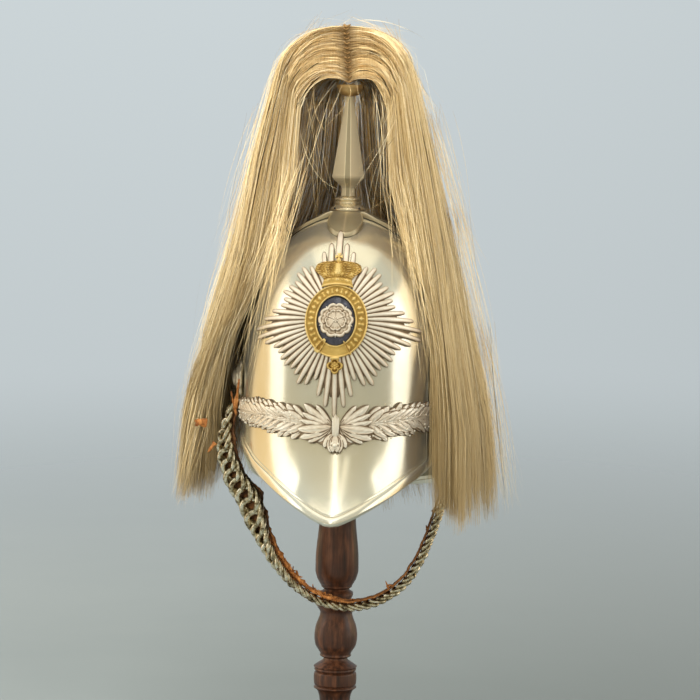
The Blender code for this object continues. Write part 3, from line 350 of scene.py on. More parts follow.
LINKS = (  # share of the route, pitch, half length, wire, lift of the twist
    (0.0, 0.012, 0.0108, 0.0015, 0.001), (0.09, 0.0088, 0.0084, 0.0019, 0.0016),
    (0.16, 0.0096, 0.0098, 0.00235, 0.0022), (0.22, 0.0106, 0.011, 0.0026, 0.0025),
    (0.28, 0.0084, 0.0084, 0.0022, 0.0023), (0.36, 0.0068, 0.0068, 0.0018, 0.0021),
    (1.0, 0.0064, 0.0064, 0.0016, 0.002),
)
LEATHER_RUN = (0.025, 0.975)
LEATHER_OFF = 0.0034
LEATHER_THICK = 0.0014
LEATHER_HALF = (  # share of the route, half width of the torn strip, as a share of the chain's width
    (0.0, 0.46), (0.24, 0.44), (0.3, 0.4), (0.48, 0.42), (0.56, 0.34), (1.0, 0.36),
)
LEATHER_WEAR = (  # share of the route, how far the dark face is worn off to the fibres
    (0.0, 0.45), (0.07, 0.12), (0.25, 0.18), (0.31, 0.95), (0.46, 1.0), (0.53, 0.45), (1.0, 0.3),
)
TORN_ENDS = (  # where a long torn flap starts, which way it runs, length, half width
    ((-0.0905, -0.0195, 0.311), (0.1, -0.05, 1.0), 0.026, 0.0017),
    ((-0.09, -0.0185, 0.306), (-0.25, 0.0, 1.0), 0.02, 0.0012),
    ((-0.115, -0.012, 0.297), (-1.0, -0.1, 0.2), 0.011, 0.0034),
    ((-0.119, -0.0135, 0.2985), (-0.9, -0.2, -0.5), 0.007, 0.0026),
    ((-0.108, -0.013, 0.281), (-0.6, 0.0, -0.8), 0.01, 0.0018),
    ((0.042, -0.027, 0.162), (-0.45, 0.0, 1.0), 0.008, 0.001),
)
TATTERS = (  # from and to, as shares of the route, number, longest
    (0.03, 0.3, 10, 0.0045), (0.32, 0.48, 60, 0.0085), (0.48, 0.97, 14, 0.004),
)
LEATHER_TORN = (0.27, 0.52, 0.06)  # thick torn stretch of the strip: from, to and how soft its ends are
TATTER_OFF = (0.0042, 0.0058)  # how far off the chain's middle the tatters spring
TATTER_HALF = (0.0008, 0.0020)
TONGUE_HALF_THICK = 0.0005
CHAIN_ENDS = (0.004, 0.003)  # what the first and last links leave free of the route

# Stand
HEAD_ROWS = (  # radius, height
    (0.02, 0.418), (0.031, 0.4205), (0.038, 0.428), (0.04, 0.4375), (0.0375, 0.45), (0.031, 0.46),
    (0.0215, 0.4668), (0.012, 0.47),
)
POLE_ROWS = (  # radius, height
    (0.013, 0.0418), (0.0125, 0.06), (0.0145, 0.0685), (0.0176, 0.0735), (0.0182, 0.08),
    (0.0178, 0.086), (0.0166, 0.0875), (0.0175, 0.0905), (0.0106, 0.097), (0.0118, 0.0993),
    (0.0137, 0.103), (0.0175, 0.11), (0.0183, 0.117), (0.0175, 0.124), (0.0136, 0.137),
    (0.0165, 0.143), (0.0126, 0.1483), (0.0141, 0.1525), (0.0112, 0.1575), (0.0143, 0.162),
    (0.0183, 0.1715), (0.0183, 0.1815), (0.0154, 0.216), (0.0135, 0.26), (0.012, 0.4177),
)
POLE_BEADS = (  # height, how far it stands out or cuts in, half width
    (0.159, 0.0012, 0.0009), (0.157, -0.0006, 0.0009), (0.1545, 0.0008, 0.0008),
    (0.1435, 0.0009, 0.0008), (0.1455, -0.0008, 0.0007), (0.0998, 0.0013, 0.0009),
    (0.0978, -0.0008, 0.0008), (0.0905, 0.001, 0.0008), (0.088, 0.0012, 0.001),
    (0.0862, -0.0014, 0.0006), (0.0742, -0.0014, 0.0006), (0.0724, 0.001, 0.0009),
)
POLE_FINE = (0.066, 0.166)  # heights between which the pole has its beads
BASE_ROWS = (
    (0.092, 0.0), (0.095, 0.003), (0.095, 0.012), (0.086, 0.018), (0.06, 0.026), (0.03, 0.033),
    (0.021, 0.0415),
)

# Camera, in front and a little to the right
CAMERA_TURN_DEG = 3.6
CAMERA_AWAY = 2.4
CAMERA_Z = 0.575
CAMERA_PITCH_DEG = 5.1
CAMERA_YAW_DEG = -0.092
CAMERA_ROLL_DEG = 1.0
CAMERA_LENS = 146.9
CAMERA_SENSOR = 36

# Background, floor and lights
WORLD_STOPS = (  # from the camera's side, 0, to the far side, 1: place and colour
    (0.15, 0.44, 0.42, 0.33), (0.75, 0.6, 0.66, 0.68),
)
MIRRORED_STOPS = (  # the same in mirrored light low down: the sides towards the back are warm and dim
    (0.15, 0.44, 0.42, 0.33), (0.45, 0.52, 0.49, 0.4), (0.6, 0.32, 0.235, 0.11),
    (0.8, 0.28, 0.19, 0.08), (0.95, 0.55, 0.58, 0.57),
)
MIRRORED_LOW = (0.15, 0.55, 1.0, 0.0)  # slope of the mirrored ray, from and to, and their share there
WORLD_FALLS = (  # direction, from and to, brightness there: darker low down and to the right
    ("Z", -0.14, 0.03, 0.86, 1.0), ("X", -0.1, 0.13, 1.0, 0.92),
)
FLOOR_RADIUS = 8.0
FLOOR_NARROWED = (1.8, 1, 1)  # the floor fades sooner to the sides than away from the camera
LIGHTS_AIM = (0, 0, 0.38)
WHITE = (1, 1, 1)
LIGHTS = (  # name, place, width and height, power, colour, whether metal mirrors it
    ("left_box", (-1.6, -0.1, 0.68), (0.66, 1.25), 3.1, WHITE, True),
    ("right_box", (1.56, -0.25, 0.68), (0.72, 1.25), 3.4, WHITE, True),
    ("front_strip", (-0.06, -1.15, 2.0), (0.26, 1.9), 2.4, WHITE, True),
    ("second_strip", (0.32, -1.12, 2.0), (0.2, 1.6), 0.7, WHITE, True),
    ("overhead", (0.0, 0.3, 2.3), (2.4, 1.9), 7, (1.0, 0.9, 0.7), True),
    ("left_warm", (-1.15, 0.62, 0.55), (1.1, 1.3), 2.6, (1.0, 0.74, 0.4), True),
    ("right_warm", (1.4, 0.57, 0.6), (0.9, 1.4), 4, (1.0, 0.78, 0.48), True),
    ("top_fill", (-0.3, -0.5, 2.4), (2.4, 2.0), 60, WHITE, False),
    ("right_fill", (0.9, -2.2, 1.15), (1.4, 0.9), 26, WHITE, False),
    ("left_fill", (-1.25, -1.95, 0.9), (1.2, 0.9), 34, (1.0, 0.95, 0.86), False),
)


# Reading tables and shaping surfaces


def read(table, at):
    """The table's other columns at places in its first column, on a curve with no overshoot."""
    rows = np.array(table, float)
    if rows[0, 0] > rows[-1, 0]:
        rows = rows[::-1]
    xs, ys = rows[:, 0], rows[:, 1:]
    step = np.diff(xs)[:, None]
    rise = np.diff(ys, axis=0) / step
    slope = np.zeros_like(ys)
    if len(xs) == 2:
        slope[:] = rise
    same = rise[:-1] * rise[1:] > 0
    total = np.where(same, rise[:-1] + rise[1:], 1.0)
    slope[1:-1] = np.where(same, 2 * rise[:-1] * rise[1:] / total, 0.0)
    at = np.clip(np.asarray(at, float), xs[0], xs[-1])
    i = np.clip(np.searchsorted(xs, at, side="right") - 1, 0, len(xs) - 2)
    t = ((at - xs[i]) / step[i, 0])[..., None]
    start, end = slope[i] * step[i], slope[i + 1] * step[i]
    found = ys[i] * (1 + 2 * t) * (1 - t) ** 2 + start * t * (1 - t) ** 2
    found += ys[i + 1] * t * t * (3 - 2 * t) + end * t * t * (t - 1)
    return np.moveaxis(found, -1, 0)


def polar(phi, radius, z):
    """Points at azimuths, distances from the axis and heights."""
    return np.stack(np.broadcast_arrays(radius * np.sin(phi), -radius * np.cos(phi), z), -1)


def unit(vectors):
    return vectors / np.maximum(np.linalg.norm(vectors, axis=-1, keepdims=True), 1e-12)


def smoothstep(x):
    x = np.clip(x, 0, 1)
    return x * x * (3 - 2 * x)


def bump_at(x, middle, width):
    """1 at the middle, falling off smoothly over a width."""
    return np.exp(-(((x - middle) / width) ** 2))


def arched(across):
    """Height of a half circle over -1 to 1."""
    return np.sqrt(np.maximum(0, 1 - across**2))


def whole_turn(count):
    """Angles all the way round, as a row."""
    return np.linspace(0, 2 * math.pi, count, endpoint=False)[None]


def crowded(count):
    """Places from -1 to 1 that crowd towards both ends, as a row."""
    return np.sin(np.linspace(-np.pi / 2, np.pi / 2, count))[None]


def plan_radius(phi):
    """Distance of the skull's straight band from the axis."""
    length = np.where(np.cos(phi) > 0, SKULL_FRONT, SKULL_REAR)
    return 1 / np.hypot(np.sin(phi) / SKULL_HALF_WIDTH, np.cos(phi) / length)


def rim(phi):
    """Distance from the axis and height of the rim."""
    return read(RIM, np.degrees(np.abs(np.remainder(phi + np.pi, 2 * np.pi) - np.pi)))


def knee(rim_z):
    """Height at which the wall begins to bend out to the rim."""
    return BROW_Z - FLARE_START * (BROW_Z - rim_z)


def flare(phi, t):
    """(radius, height) on the wall between the brow, t 0, and the rim, t 1."""
    brow = plan_radius(phi)
    rim_radius, rim_z = rim(phi)
    near, both, far = (1 - t) ** 2, 2 * t * (1 - t), t * t
    return (near + both) * brow + far * rim_radius, near * BROW_Z + both * knee(rim_z) + far * rim_z


def wall_radius(phi, z):
    """Distance of the skull's outside from the axis at a height."""
    phi, z = np.broadcast_arrays(np.asarray(phi, float), np.asarray(z, float))
    share = np.clip((z - EQUATOR_Z) / DOME_RISE, 0, 1)
    dome = plan_radius(phi) * np.sqrt(1 - share * share)
    rim_z = rim(phi)[1]
    a, b, c = BROW_Z - 2 * knee(rim_z) + rim_z, 2 * (knee(rim_z) - BROW_Z), BROW_Z - z
    is_curve = np.abs(a) > 1e-9
    root = np.sqrt(np.maximum(0.0, b * b - 4 * a * c))
    t = np.where(is_curve, (-b - root) / np.where(is_curve, 2 * a, 1), -c / b)
    return np.where(z >= BROW_Z, dome, flare(phi, np.clip(t, 0, 1))[0])


def dome_z(phi, radius):
    """Height of the skull's dome at a distance from the axis."""
    share = np.minimum(1.0, radius / plan_radius(phi))
    return EQUATOR_Z + DOME_RISE * np.sqrt(1 - share * share)


def plate_frame():
    """Centre of the star on the skull, up along its plate, and out of it."""
    step = 0.002
    rise = wall_radius(0, STAR_Z + step) - wall_radius(0, STAR_Z - step)
    lean = math.atan2(-rise, 2 * step)
    centre = np.array((STAR_X, -float(wall_radius(0, STAR_Z)), STAR_Z))
    up = np.array((0, math.sin(lean), math.cos(lean)))
    return centre, up, np.array((0, -math.cos(lean), math.sin(lean)))


PLATE = plate_frame()


def on_plate(u, v, w):
    """Points of the plate's plane laid on the skull along the plate's normal, and w out from it."""
    centre, up, out = PLATE
    u, v, w = np.broadcast_arrays(u, v, w)
    start = centre + u[..., None] * np.array((1.0, 0, 0)) + v[..., None] * up
    near, far = (np.full(u.shape, depth) for depth in PLATE_DEPTHS)
    for _ in range(PLATE_HALVINGS):
        middle = (near + far) / 2
        at = start - out * middle[..., None]
        phi = np.arctan2(at[..., 0], -at[..., 1])
        reach = np.hypot(at[..., 0], at[..., 1])
        inside = (at[..., 2] < SKULL_TOP_Z) & (reach < wall_radius(phi, at[..., 2]))
        near, far = np.where(inside, near, middle), np.where(inside, middle, far)
    return start - out * (far - w)[..., None]


def on_oval(turn, half_u, half_v, w, middle_v=0.0):
    """Points of an oval on the plate, w out from it."""
    return on_plate(half_u * np.sin(turn), middle_v + half_v * np.cos(turn), w)


def turned_by(angle, along, across):
    """(u, v) at distances along and across a direction at an angle from the top."""
    sine, cosine = math.sin(angle), math.cos(angle)
    return along * sine + across * cosine, along * cosine - across * sine


def softened(rows, passes=2):
    """The corners of a (radius, height) line cut off again and again, its ends kept."""
    line = np.array(rows, float)
    for _ in range(passes):
        near = line[:-1] * 0.75 + line[1:] * 0.25
        far = line[:-1] * 0.25 + line[1:] * 0.75
        line = np.concatenate([line[:1], np.stack([near, far], 1).reshape(-1, 2), line[-1:]])
    return line


# Meshes


class Shape:
    """Points, faces and a relief value gathered from several grids, to be made into one mesh."""

    def __init__(self):
        self.points, self.quads, self.triangles, self.relief = [], [], [], []
        self.count = 0

    def _take(self, points, relief):
        start = self.count
        flat = points.reshape(-1, 3)
        self.points.append(flat)
        self.relief.append(np.ravel(relief))
        self.count += len(flat)
        return start

    def grid(self, points, relief=1.0, loop=False, rows_loop=False, ends=False):
        """Quads through rows x columns of points. loop joins the last column to the first."""
        rows, columns = points.shape[:2]
        relief = np.broadcast_to(np.asarray(relief, float), (rows, columns))
        start = self._take(points, relief)
        number = start + np.arange(rows * columns).reshape(rows, columns)
        if loop:
            number = np.concatenate([number, number[:, :1]], 1)
        if rows_loop:
            number = np.concatenate([number, number[:1]], 0)
        quads = [number[:-1, :-1], number[:-1, 1:], number[1:, 1:], number[1:, :-1]]
        self.quads.append(np.stack(quads, -1).reshape(-1, 4))
        for row in (0, -1) if ends else ():
            middle = self._take(points[row].mean(0)[None], relief[row].mean())
            line = number[row]
            fan = [np.full(len(line) - 1, middle), line[:-1], line[1:]]
            self.triangles.append(np.stack(fan, -1))

    def cap(self, top, base, relief=1.0):
        """A raised surface whose edge is carried down to the edge of a grid of points under it."""
        points = np.pad(base, ((1, 1), (1, 1), (0, 0)), mode="edge")
        points[1:-1, 1:-1] = top
        self.grid(points, np.pad(np.broadcast_to(relief, top.shape[:2]), 1, mode="edge"))

    def slab(self, top, under, relief=1.0):
        """A closed plate between a grid of points and the same grid lower down."""
        relief = np.broadcast_to(relief, top.shape[:2])
        ring = np.concatenate([top, under[:, ::-1]], 1)
        self.grid(ring, np.concatenate([relief, relief[:, ::-1]], 1), loop=True, ends=True)

    def ball(self, centre, radius, axes=None, rows=7, columns=10):
        """A small ball, or an egg with axes as three vectors."""
        axes = np.eye(3) * radius if axes is None else np.array(axes, float)
        down = np.linspace(BALL_POLE, math.pi - BALL_POLE, rows)[:, None]
        turn = whole_turn(columns)
        local = [np.sin(down) * np.cos(turn), np.sin(down) * np.sin(turn), np.cos(down) + 0 * turn]
        self.grid(np.asarray(centre, float) + np.stack(local, -1) @ axes, loop=True, ends=True)

    def made(self, name, finish, slot, replaced=(), on_helmet=True, sharp_deg=None):
        points = np.concatenate(self.points)
        if on_helmet:
            points = points + np.array((HELMET_X, 0, 0))
        mesh = mesh_from(name, points, self.quads, self.triangles)
        add_values(mesh, "relief", np.concatenate(self.relief))
        work = bmesh.new()
        work.from_mesh(mesh)
        bmesh.ops.recalc_face_normals(work, faces=work.faces)
        work.to_mesh(mesh)
        work.free()
        mesh.shade_smooth()
        if sharp_deg is not None:
            mesh.set_sharp_from_angle(angle=math.radians(sharp_deg))
        placed(name, mesh, finish, replaced)


def mesh_from(name, points, quads, triangles=()):
    """A mesh from points and arrays of the corner numbers of its faces."""
    groups = ((quads, 4), (triangles, 3))
    faces = [(np.asarray(some, np.int32), size) for group, size in groups for some in group]
    corners = np.concatenate([some.ravel() for some, _ in faces])
    sizes = np.concatenate([np.full(len(some), size, np.int32) for some, size in faces])
    starts = np.concatenate([[0], np.cumsum(sizes)[:-1]]).astype(np.int32)
    mesh = bpy.data.meshes.new(name)
    mesh.vertices.add(len(points))
    mesh.vertices.foreach_set("co", points.astype(np.float32).ravel())
    mesh.loops.add(len(corners))
    mesh.loops.foreach_set("vertex_index", corners)
    mesh.polygons.add(len(sizes))
    mesh.polygons.foreach_set("loop_start", starts)
    mesh.update(calc_edges=True)
    return mesh


def add_values(mesh, name, values):
    made = mesh.attributes.new(name, "FLOAT", "POINT")
    made.data.foreach_set("value", np.asarray(values, np.float32))


def placed(name, mesh, finish, replaced=()):
    """Puts a piece into the scene, riding on the helmet's body, in place of the solids it replaces."""
    mesh.materials.append(finish)
    piece = bpy.data.objects.new(name, mesh)
    bpy.context.scene.collection.objects.link(piece)
    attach(piece, "root")
    if replaced:
        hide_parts(*replaced)


# Materials


class Nodes:
    """A node tree with short ways to add to it."""

    def __init__(self, tree, coordinates):
        self.tree = tree
        self.place = self.add("ShaderNodeTexCoord").outputs[coordinates]

    def add(self, kind, inputs=None, **settings):
        made = self.tree.nodes.new(kind)
        for key, value in settings.items():
            setattr(made, key, value)
        for socket, value in (inputs or {}).items():
            self.feed(made.inputs[socket], value)
        return made

    def feed(self, socket, value):
        """Gives a socket a link or a constant, whichever the value is."""
        if isinstance(value, bpy.types.NodeSocket):
            self.tree.links.new(value, socket)
        elif socket.type == "RGBA":
            socket.default_value = (*value, 1)
        else:
            socket.default_value = value

    def stretched(self, scale):
        return self.add("ShaderNodeMapping", {"Scale": scale, "Vector": self.place}).outputs["Vector"]

    def noise(self, scale, detail=4.0, rough=0.55, stretch=(1, 1, 1)):
        inputs = {"Scale": scale, "Detail": detail, "Roughness": rough, "Vector": self.stretched(stretch)}
        return self.add("ShaderNodeTexNoise", inputs).outputs["Fac"]

    def line_noise(self, name, scale):
        """Noise along one value carried by the mesh."""
        inputs = {"Scale": scale, "Detail": 2.0, "W": self.value(name)}
        return self.add("ShaderNodeTexNoise", inputs, noise_dimensions="1D").outputs["Fac"]

    def value(self, name):
        return self.add("ShaderNodeAttribute", attribute_name=name).outputs["Fac"]

    def spread(self, source, low, high, to_low=0.0, to_high=1.0):
        limits = {"From Min": low, "From Max": high, "To Min": to_low, "To Max": to_high}
        return self.add("ShaderNodeMapRange", {"Value": source, **limits}).outputs["Result"]

    def sums(self, operation, a, b):
        return self.add("ShaderNodeMath", {0: a, 1: b}, operation=operation).outputs[0]

    def varied(self, value, cloud, amount, low=0.3, high=0.7):
        """A value that a noise raises and lowers by an amount."""
        return self.sums("ADD", value, self.spread(cloud, low, high, -amount, amount))

    def blended(self, a, b, share):
        """Two values added, each cut to its share of the whole."""
        return self.sums("ADD", self.sums("MULTIPLY", a, share), self.sums("MULTIPLY", b, 1 - share))

    def split(self, vector):
        return self.add("ShaderNodeSeparateXYZ", {0: vector}).outputs

    def length(self, vector):
        return self.add("ShaderNodeVectorMath", {0: vector}, operation="LENGTH").outputs["Value"]

    def ramp(self, source, stops):
        """Colours between stops, each a place and its red, green and blue."""
        made = self.add("ShaderNodeValToRGB", {"Fac": source})
        elements = made.color_ramp.elements
        while len(elements) < len(stops):
            elements.new(1.0)
        for element, (at, *colour) in zip(elements, stops):
            element.position = at
            element.color = (*colour, 1)
        return made.outputs["Color"]

    def mix(self, share, a, b):
        return self.add("ShaderNodeMix", {0: share, 6: a, 7: b}, data_type="RGBA").outputs[2]


class Finish(Nodes):
    """A Principled material."""

    def __init__(self, name, colour, roughness, metallic=0.0, **sockets):
        self.material = bpy.data.materials.new(name)
        self.material.use_nodes = True
        super().__init__(self.material.node_tree, "Object")
        self.shader = self.tree.nodes["Principled BSDF"]
        self.shade(Base_Color=colour, Roughness=roughness, Metallic=metallic, **sockets)

    def shade(self, **sockets):
        for socket, value in sockets.items():
            self.feed(self.shader.inputs[socket.replace("_", " ")], value)

    def colour(self, source, stops=()):
        """Base colour from a colour, or from a value over stops."""
        self.shade(Base_Color=self.ramp(source, stops) if stops else source)

    def rough(self, source, *limits):
        """Roughness from a value, spread over limits where there are any."""
        self.shade(Roughness=self.spread(source, *limits) if limits else source)

    def bump(self, source, strength, distance):
        inputs = {"Strength": strength, "Distance": distance, "Height": source}
        self.shade(Normal=self.add("ShaderNodeBump", inputs).outputs["Normal"])


def polished_silver(name="polished_silver", softer=0.0, metallic=0.9, warmth=0.0):
    """Thin silver over yellow metal. warmth above 0 lets more of the yellow through."""
    made = Finish(name, (0.90, 0.84, 0.66), 0.20, metallic)
    stops = ((0.30, 0.88, 0.79, 0.56), (0.52, 0.90, 0.84, 0.66), (0.75, 0.93, 0.90, 0.77))
    warmed = [(at, red, green * (1 - 0.4 * warmth), blue * (1 - warmth)) for at, red, green, blue in stops]
    shine = made.ramp(made.noise(9.0, 3.0), warmed)
    stain = made.spread(made.noise(34.0, 6.0, 0.75), 0.62, 0.80, 0.0, 0.35)
    tarnished = made.mix(stain, shine, (0.66, 0.54, 0.32))
    # Low relief mixes in dark brown: the shell's dull inside and the crosspiece's hollows with tarnish and
    # painted shade, the spike's narrow facets as painted shade alone
    outside = made.value("relief")
    made.colour(made.mix(outside, (0.30, 0.25, 0.15), tarnished))
    wear = made.spread(made.noise(60.0, 6.0, 0.7), 0.3, 0.8, 0.16 + softer, 0.26 + softer)
    made.rough(made.sums("ADD", wear, made.spread(outside, 0.0, 1.0, 0.35, 0.0)))
    scratches = made.noise(1.0, 5.0, 0.65, (900, 900, 60))
    dents = made.sums("MULTIPLY", made.noise(26.0, 2.0), 4.0)
    made.bump(made.sums("ADD", scratches, dents), 0.08, 0.00012)
    return made.material


def worn_silver():
    """Matt silver, brown in the hollows with tarnish and painted shade, and bright on what stands out with
    wear and painted highlights.
    """
    made = Finish("worn_silver", (0.62, 0.53, 0.42), 0.42, 0.7)
    shade = made.varied(made.value("relief"), made.noise(120.0, 5.0, 0.6), 0.08)
    made.colour(shade, WORN_STOPS)
    made.rough(shade, 0.1, 1.0, 0.55, 0.36)
    made.bump(made.noise(900.0, 3.0), 0.10, 0.0001)
    return made.material


def gilt_brass(name="gilt_brass", tint=(1, 1, 1), paled=0.0):
    """Gilt, matt and brown in the hollows with grime and painted shade. A dark tint gives bronze, and paled
    leads to silver.
    """
    made = Finish(name, (0.78, 0.53, 0.17), 0.34, 0.75)
    shade = made.varied(made.value("relief"), made.noise(160.0, 5.0, 0.6), 0.14)
    toned = []
    for at, *colour in GILT_STOPS:
        pale = [part + (colour[0] - part) * paled for part in colour]
        toned.append((at, *(part * share for part, share in zip(pale, tint))))
    made.colour(shade, toned)
    made.rough(shade, 0.1, 1.0, 0.58, 0.30)
    made.bump(made.noise(1100.0, 3.0), 0.16, 0.0002)
    return made.material


def dark_enamel():
    """Nearly black glass with a paler bloom in spots."""
    made = Finish("dark_enamel", (0.02, 0.022, 0.035), 0.12, 0.0, Coat_Weight=0.6, Coat_Roughness=0.05)
    cloud = made.noise(220.0, 6.0, 0.7)
    stops = ((0.35, 0.014, 0.015, 0.022), (0.60, 0.038, 0.039, 0.052), (0.78, 0.15, 0.15, 0.18))
    made.colour(cloud, stops)
    made.rough(cloud, 0.4, 0.8, 0.10, 0.45)
    return made.material


def horsehair():
    """Straw-coloured hair, darker at the roots and the ends, and paler on the inside of the plume; the dark
    roots and ends are partly painted shade, the pale inside partly painted light.
    """
    made = Finish("horsehair", (0.78, 0.60, 0.32), 0.45, 0.0, Specular_IOR_Level=0.28)
    shade = made.varied(made.value("tone"), made.line_noise("stripe", 1.0), 0.25, 0.25, 0.75)
    shade = made.varied(shade, made.noise(1.0, 3.0, 0.6, (1100, 1100, 110)), 0.20)
    along = made.value("along")
    strand = made.ramp(shade, HAIR_STOPS)
    # Darker towards the ends: partly the hair's own darker tips, partly painted shade lower down the plume
    ends = made.mix(made.spread(along, 0.38, 1.0, 0.0, 0.80), strand, (0.30, 0.205, 0.085))
    # Dark roots: partly their own orange-brown, partly painted shade in the parting and between the tufts
    roots = made.mix(made.spread(along, 0.0, 0.075, 0.80, 0.0), ends, (0.25, 0.13, 0.040))
    made.colour(made.mix(made.value("inner"), roots, made.ramp(shade, INNER_HAIR_AND_GLINT_STOPS)))
    made.rough(made.noise(1.0, 4.0, 0.6, (260, 260, 30)), 0.3, 0.7, 0.36, 0.58)
    return made.material


def chain_steel():
    """Bright steel with brown rust between the bright spots."""
    made = Finish("chain_steel", (0.62, 0.60, 0.52), 0.30, 1.0)
    cloud = made.noise(220.0, 5.0, 0.65)
    made.colour(cloud, CHAIN_STOPS)
    made.rough(cloud, 0.3, 0.75, 0.42, 0.14)
    made.bump(made.noise(900.0, 4.0), 0.2, 0.0002)
    return made.material


def torn_leather():
    """Orange-brown torn fibre, with the dark face where relief is low."""
    made = Finish("torn_leather", (0.45, 0.18, 0.05), 0.8)
    cloud = made.noise(150.0, 7.0, 0.7)
    shade = made.blended(cloud, made.noise(1.0, 5.0, 0.7, (700, 700, 160)), 0.6)
    made.colour(made.mix(made.value("relief"), (0.045, 0.022, 0.010), made.ramp(shade, LEATHER_STOPS)))
    made.rough(cloud, 0.3, 0.7, 0.65, 0.95)
    made.bump(shade, 0.7, 0.0006)
    return made.material


def waxed_wood():
    """Dark red-brown wood with upright grain under old wax."""
    made = Finish("waxed_wood", (0.10, 0.035, 0.02), 0.40, 0.0, Coat_Weight=0.18, Coat_Roughness=0.22)
    grain = made.noise(1.0, 6.0, 0.62, (260, 260, 14))
    stops = ((0.36, 0.012, 0.005, 0.002), (0.50, 0.050, 0.017, 0.007), (0.66, 0.145, 0.054, 0.022))
    made.colour(made.blended(grain, made.noise(24.0, 4.0, 0.6), 0.65), stops)
    made.rough(made.noise(70.0, 5.0, 0.7), 0.3, 0.75, 0.36, 0.62)
    made.bump(grain, 0.25, 0.0004)
    return made.material


def stitching_thread():
    made = Finish("stitching_thread", (0.30, 0.17, 0.06), 0.8)
    cloud = made.noise(700.0, 5.0, 0.7)
    made.colour(cloud, ((0.3, 0.08, 0.04, 0.014), (0.55, 0.30, 0.17, 0.055), (0.75, 0.55, 0.36, 0.15)))
    made.bump(cloud, 0.6, 0.0004)
    return made.material


# Near-black colour for the vents: painted shade inside their holes
def vent_painted_shade():
    made = Finish("vent_painted_shade", (0.01, 0.008, 0.006), 0.7)
    made.colour(made.noise(800.0, 3.0), ((0.3, 0.006, 0.005, 0.004), (0.8, 0.03, 0.024, 0.018)))
    return made.material


# Skull


def skull_lines():
    """Outer (radius, height) points from the crown to the rim, and their directions out and along."""
    phi = whole_turn(SKULL_COLUMNS)
    down = np.linspace(0, np.pi / 2, DOME_STEPS + 1)[1:, None]
    plan = plan_radius(phi)
    radii = [plan * np.sin(down)]
    heights = [EQUATOR_Z + DOME_RISE * np.cos(down) + 0 * phi]
    for share in STRAIGHT_SHARES:
        radii.append(plan)
        heights.append(EQUATOR_Z + (BROW_Z - EQUATOR_Z) * share + 0 * phi)
    for t in np.linspace(0, 1, FLARE_STEPS + 1):
        radius, z = flare(phi, t)
        radii.append(radius)
        heights.append(z)
    line = np.stack([np.concatenate(radii), np.concatenate(heights)], -1)
    along = unit(np.gradient(line, axis=0))
    return phi, line, np.stack([-along[..., 1], along[..., 0]], -1), along


def skull(finish):
    """Thin shell with a polish outside and a dull inside, whose dark colour is partly painted shade."""
    phi, line, out, _ = skull_lines()
    both = np.concatenate([line, (line - out * SKULL_WALL)[::-1]])
    polish_and_painted_shade = np.repeat((1.0, 0.0), len(line))[:, None]
    shape = Shape()
    shape.grid(polar(phi, both[..., 0], both[..., 1]), polish_and_painted_shade, loop=True, ends=True)
    shape.made("skull_shell", finish, SILVER, ["skull"], sharp_deg=60)


def peak_binding(finish):
    """Folded edge all round the rim."""
    phi, line, out, along = skull_lines()
    section = np.array(BINDING_SECTION)[..., None, None]
    at = line[-1] + along[-1] * section[:, 0] + out[-1] * section[:, 1]
    shape = Shape()
    shape.grid(polar(phi, at[..., 0], at[..., 1]), loop=True, rows_loop=True)
    shape.made("edge_binding", finish, SILVER, ["peak_binding"], sharp_deg=50)


# Star and badge


def ray_reach():
    """How far each ray of the star reaches, the first once more at the end."""
    turn = np.abs(np.remainder(360.0 * np.arange(RAY_COUNT + 1) / RAY_COUNT + 180, 360) - 180)
    return np.interp(turn, *zip(*STAR_OUTLINE))


def rounded_tip(to_tip, length):
    """Share of the full width at distances from a rounded tip."""
    left = np.clip(to_tip / length, 0, 1)
    return np.maximum(arched(1 - left), RAY_TIP_LEAST)


def star_ground(shape, reach):
    """Low plate under the rays, notched between their tips, painted dark as tarnish with painted shade
    between the rays.
    """
    notch = RAY_NOTCH * np.minimum(reach[:-1], reach[1:])
    edge = np.stack([np.minimum(notch, np.roll(notch, 1)), notch], -1).ravel()[None]
    middle = STAR_HUB * 0.8
    radius = middle + (edge - middle) * np.linspace(0, 1, STAR_GROUND_ROWS)[:, None]
    radius = np.concatenate([radius, radius[::-1]])
    height = np.repeat((STAR_VALLEY - 0.0002, STAR_BACK), STAR_GROUND_ROWS)[:, None]
    shape.grid(on_oval(whole_turn(2 * RAY_COUNT), radius, radius, height), 0.15, loop=True, rows_loop=True)


def star(finish):
    """Ridged round-ended rays that keep to a stepped outline."""
    shape = Shape()
    reach = ray_reach()
    star_ground(shape, reach)
    across = crowded(9)
    arch = arched(across)
    share = np.concatenate([np.linspace(0, 0.9, 11), np.linspace(0.93, 1, 6)])[:, None]
    # Crest of each ray painted bright, its sides and tip darker: wear with painted highlights and painted
    # shade
    wear_and_painted_light = 0.04 + 0.94 * arch**1.4 * (1 - 0.3 * share**6)
    step = 2 * math.pi / RAY_COUNT
    for i in range(RAY_COUNT):
        along = STAR_HUB + (reach[i] - STAR_HUB) * share
        half = np.minimum(RAY_SHARE * step * along, RAY_WIDEST)
        half = half * rounded_tip(reach[i] - along, 1.4 * half)
        half = half * (1 - 0.22 * smoothstep((share - 0.55) / 0.4))
        height = STAR_VALLEY - 0.0004 + RAY_HEIGHT * (half / RAY_WIDEST) ** 0.6 * arch**0.8
        u, v = turned_by(i * step, along, across * half)
        shape.cap(on_plate(u, v, height), on_plate(u, v, STAR_BACK), wear_and_painted_light)
    crown_rays(shape)
    shape.made("star_rays", finish, WORN, ["star_plate"])


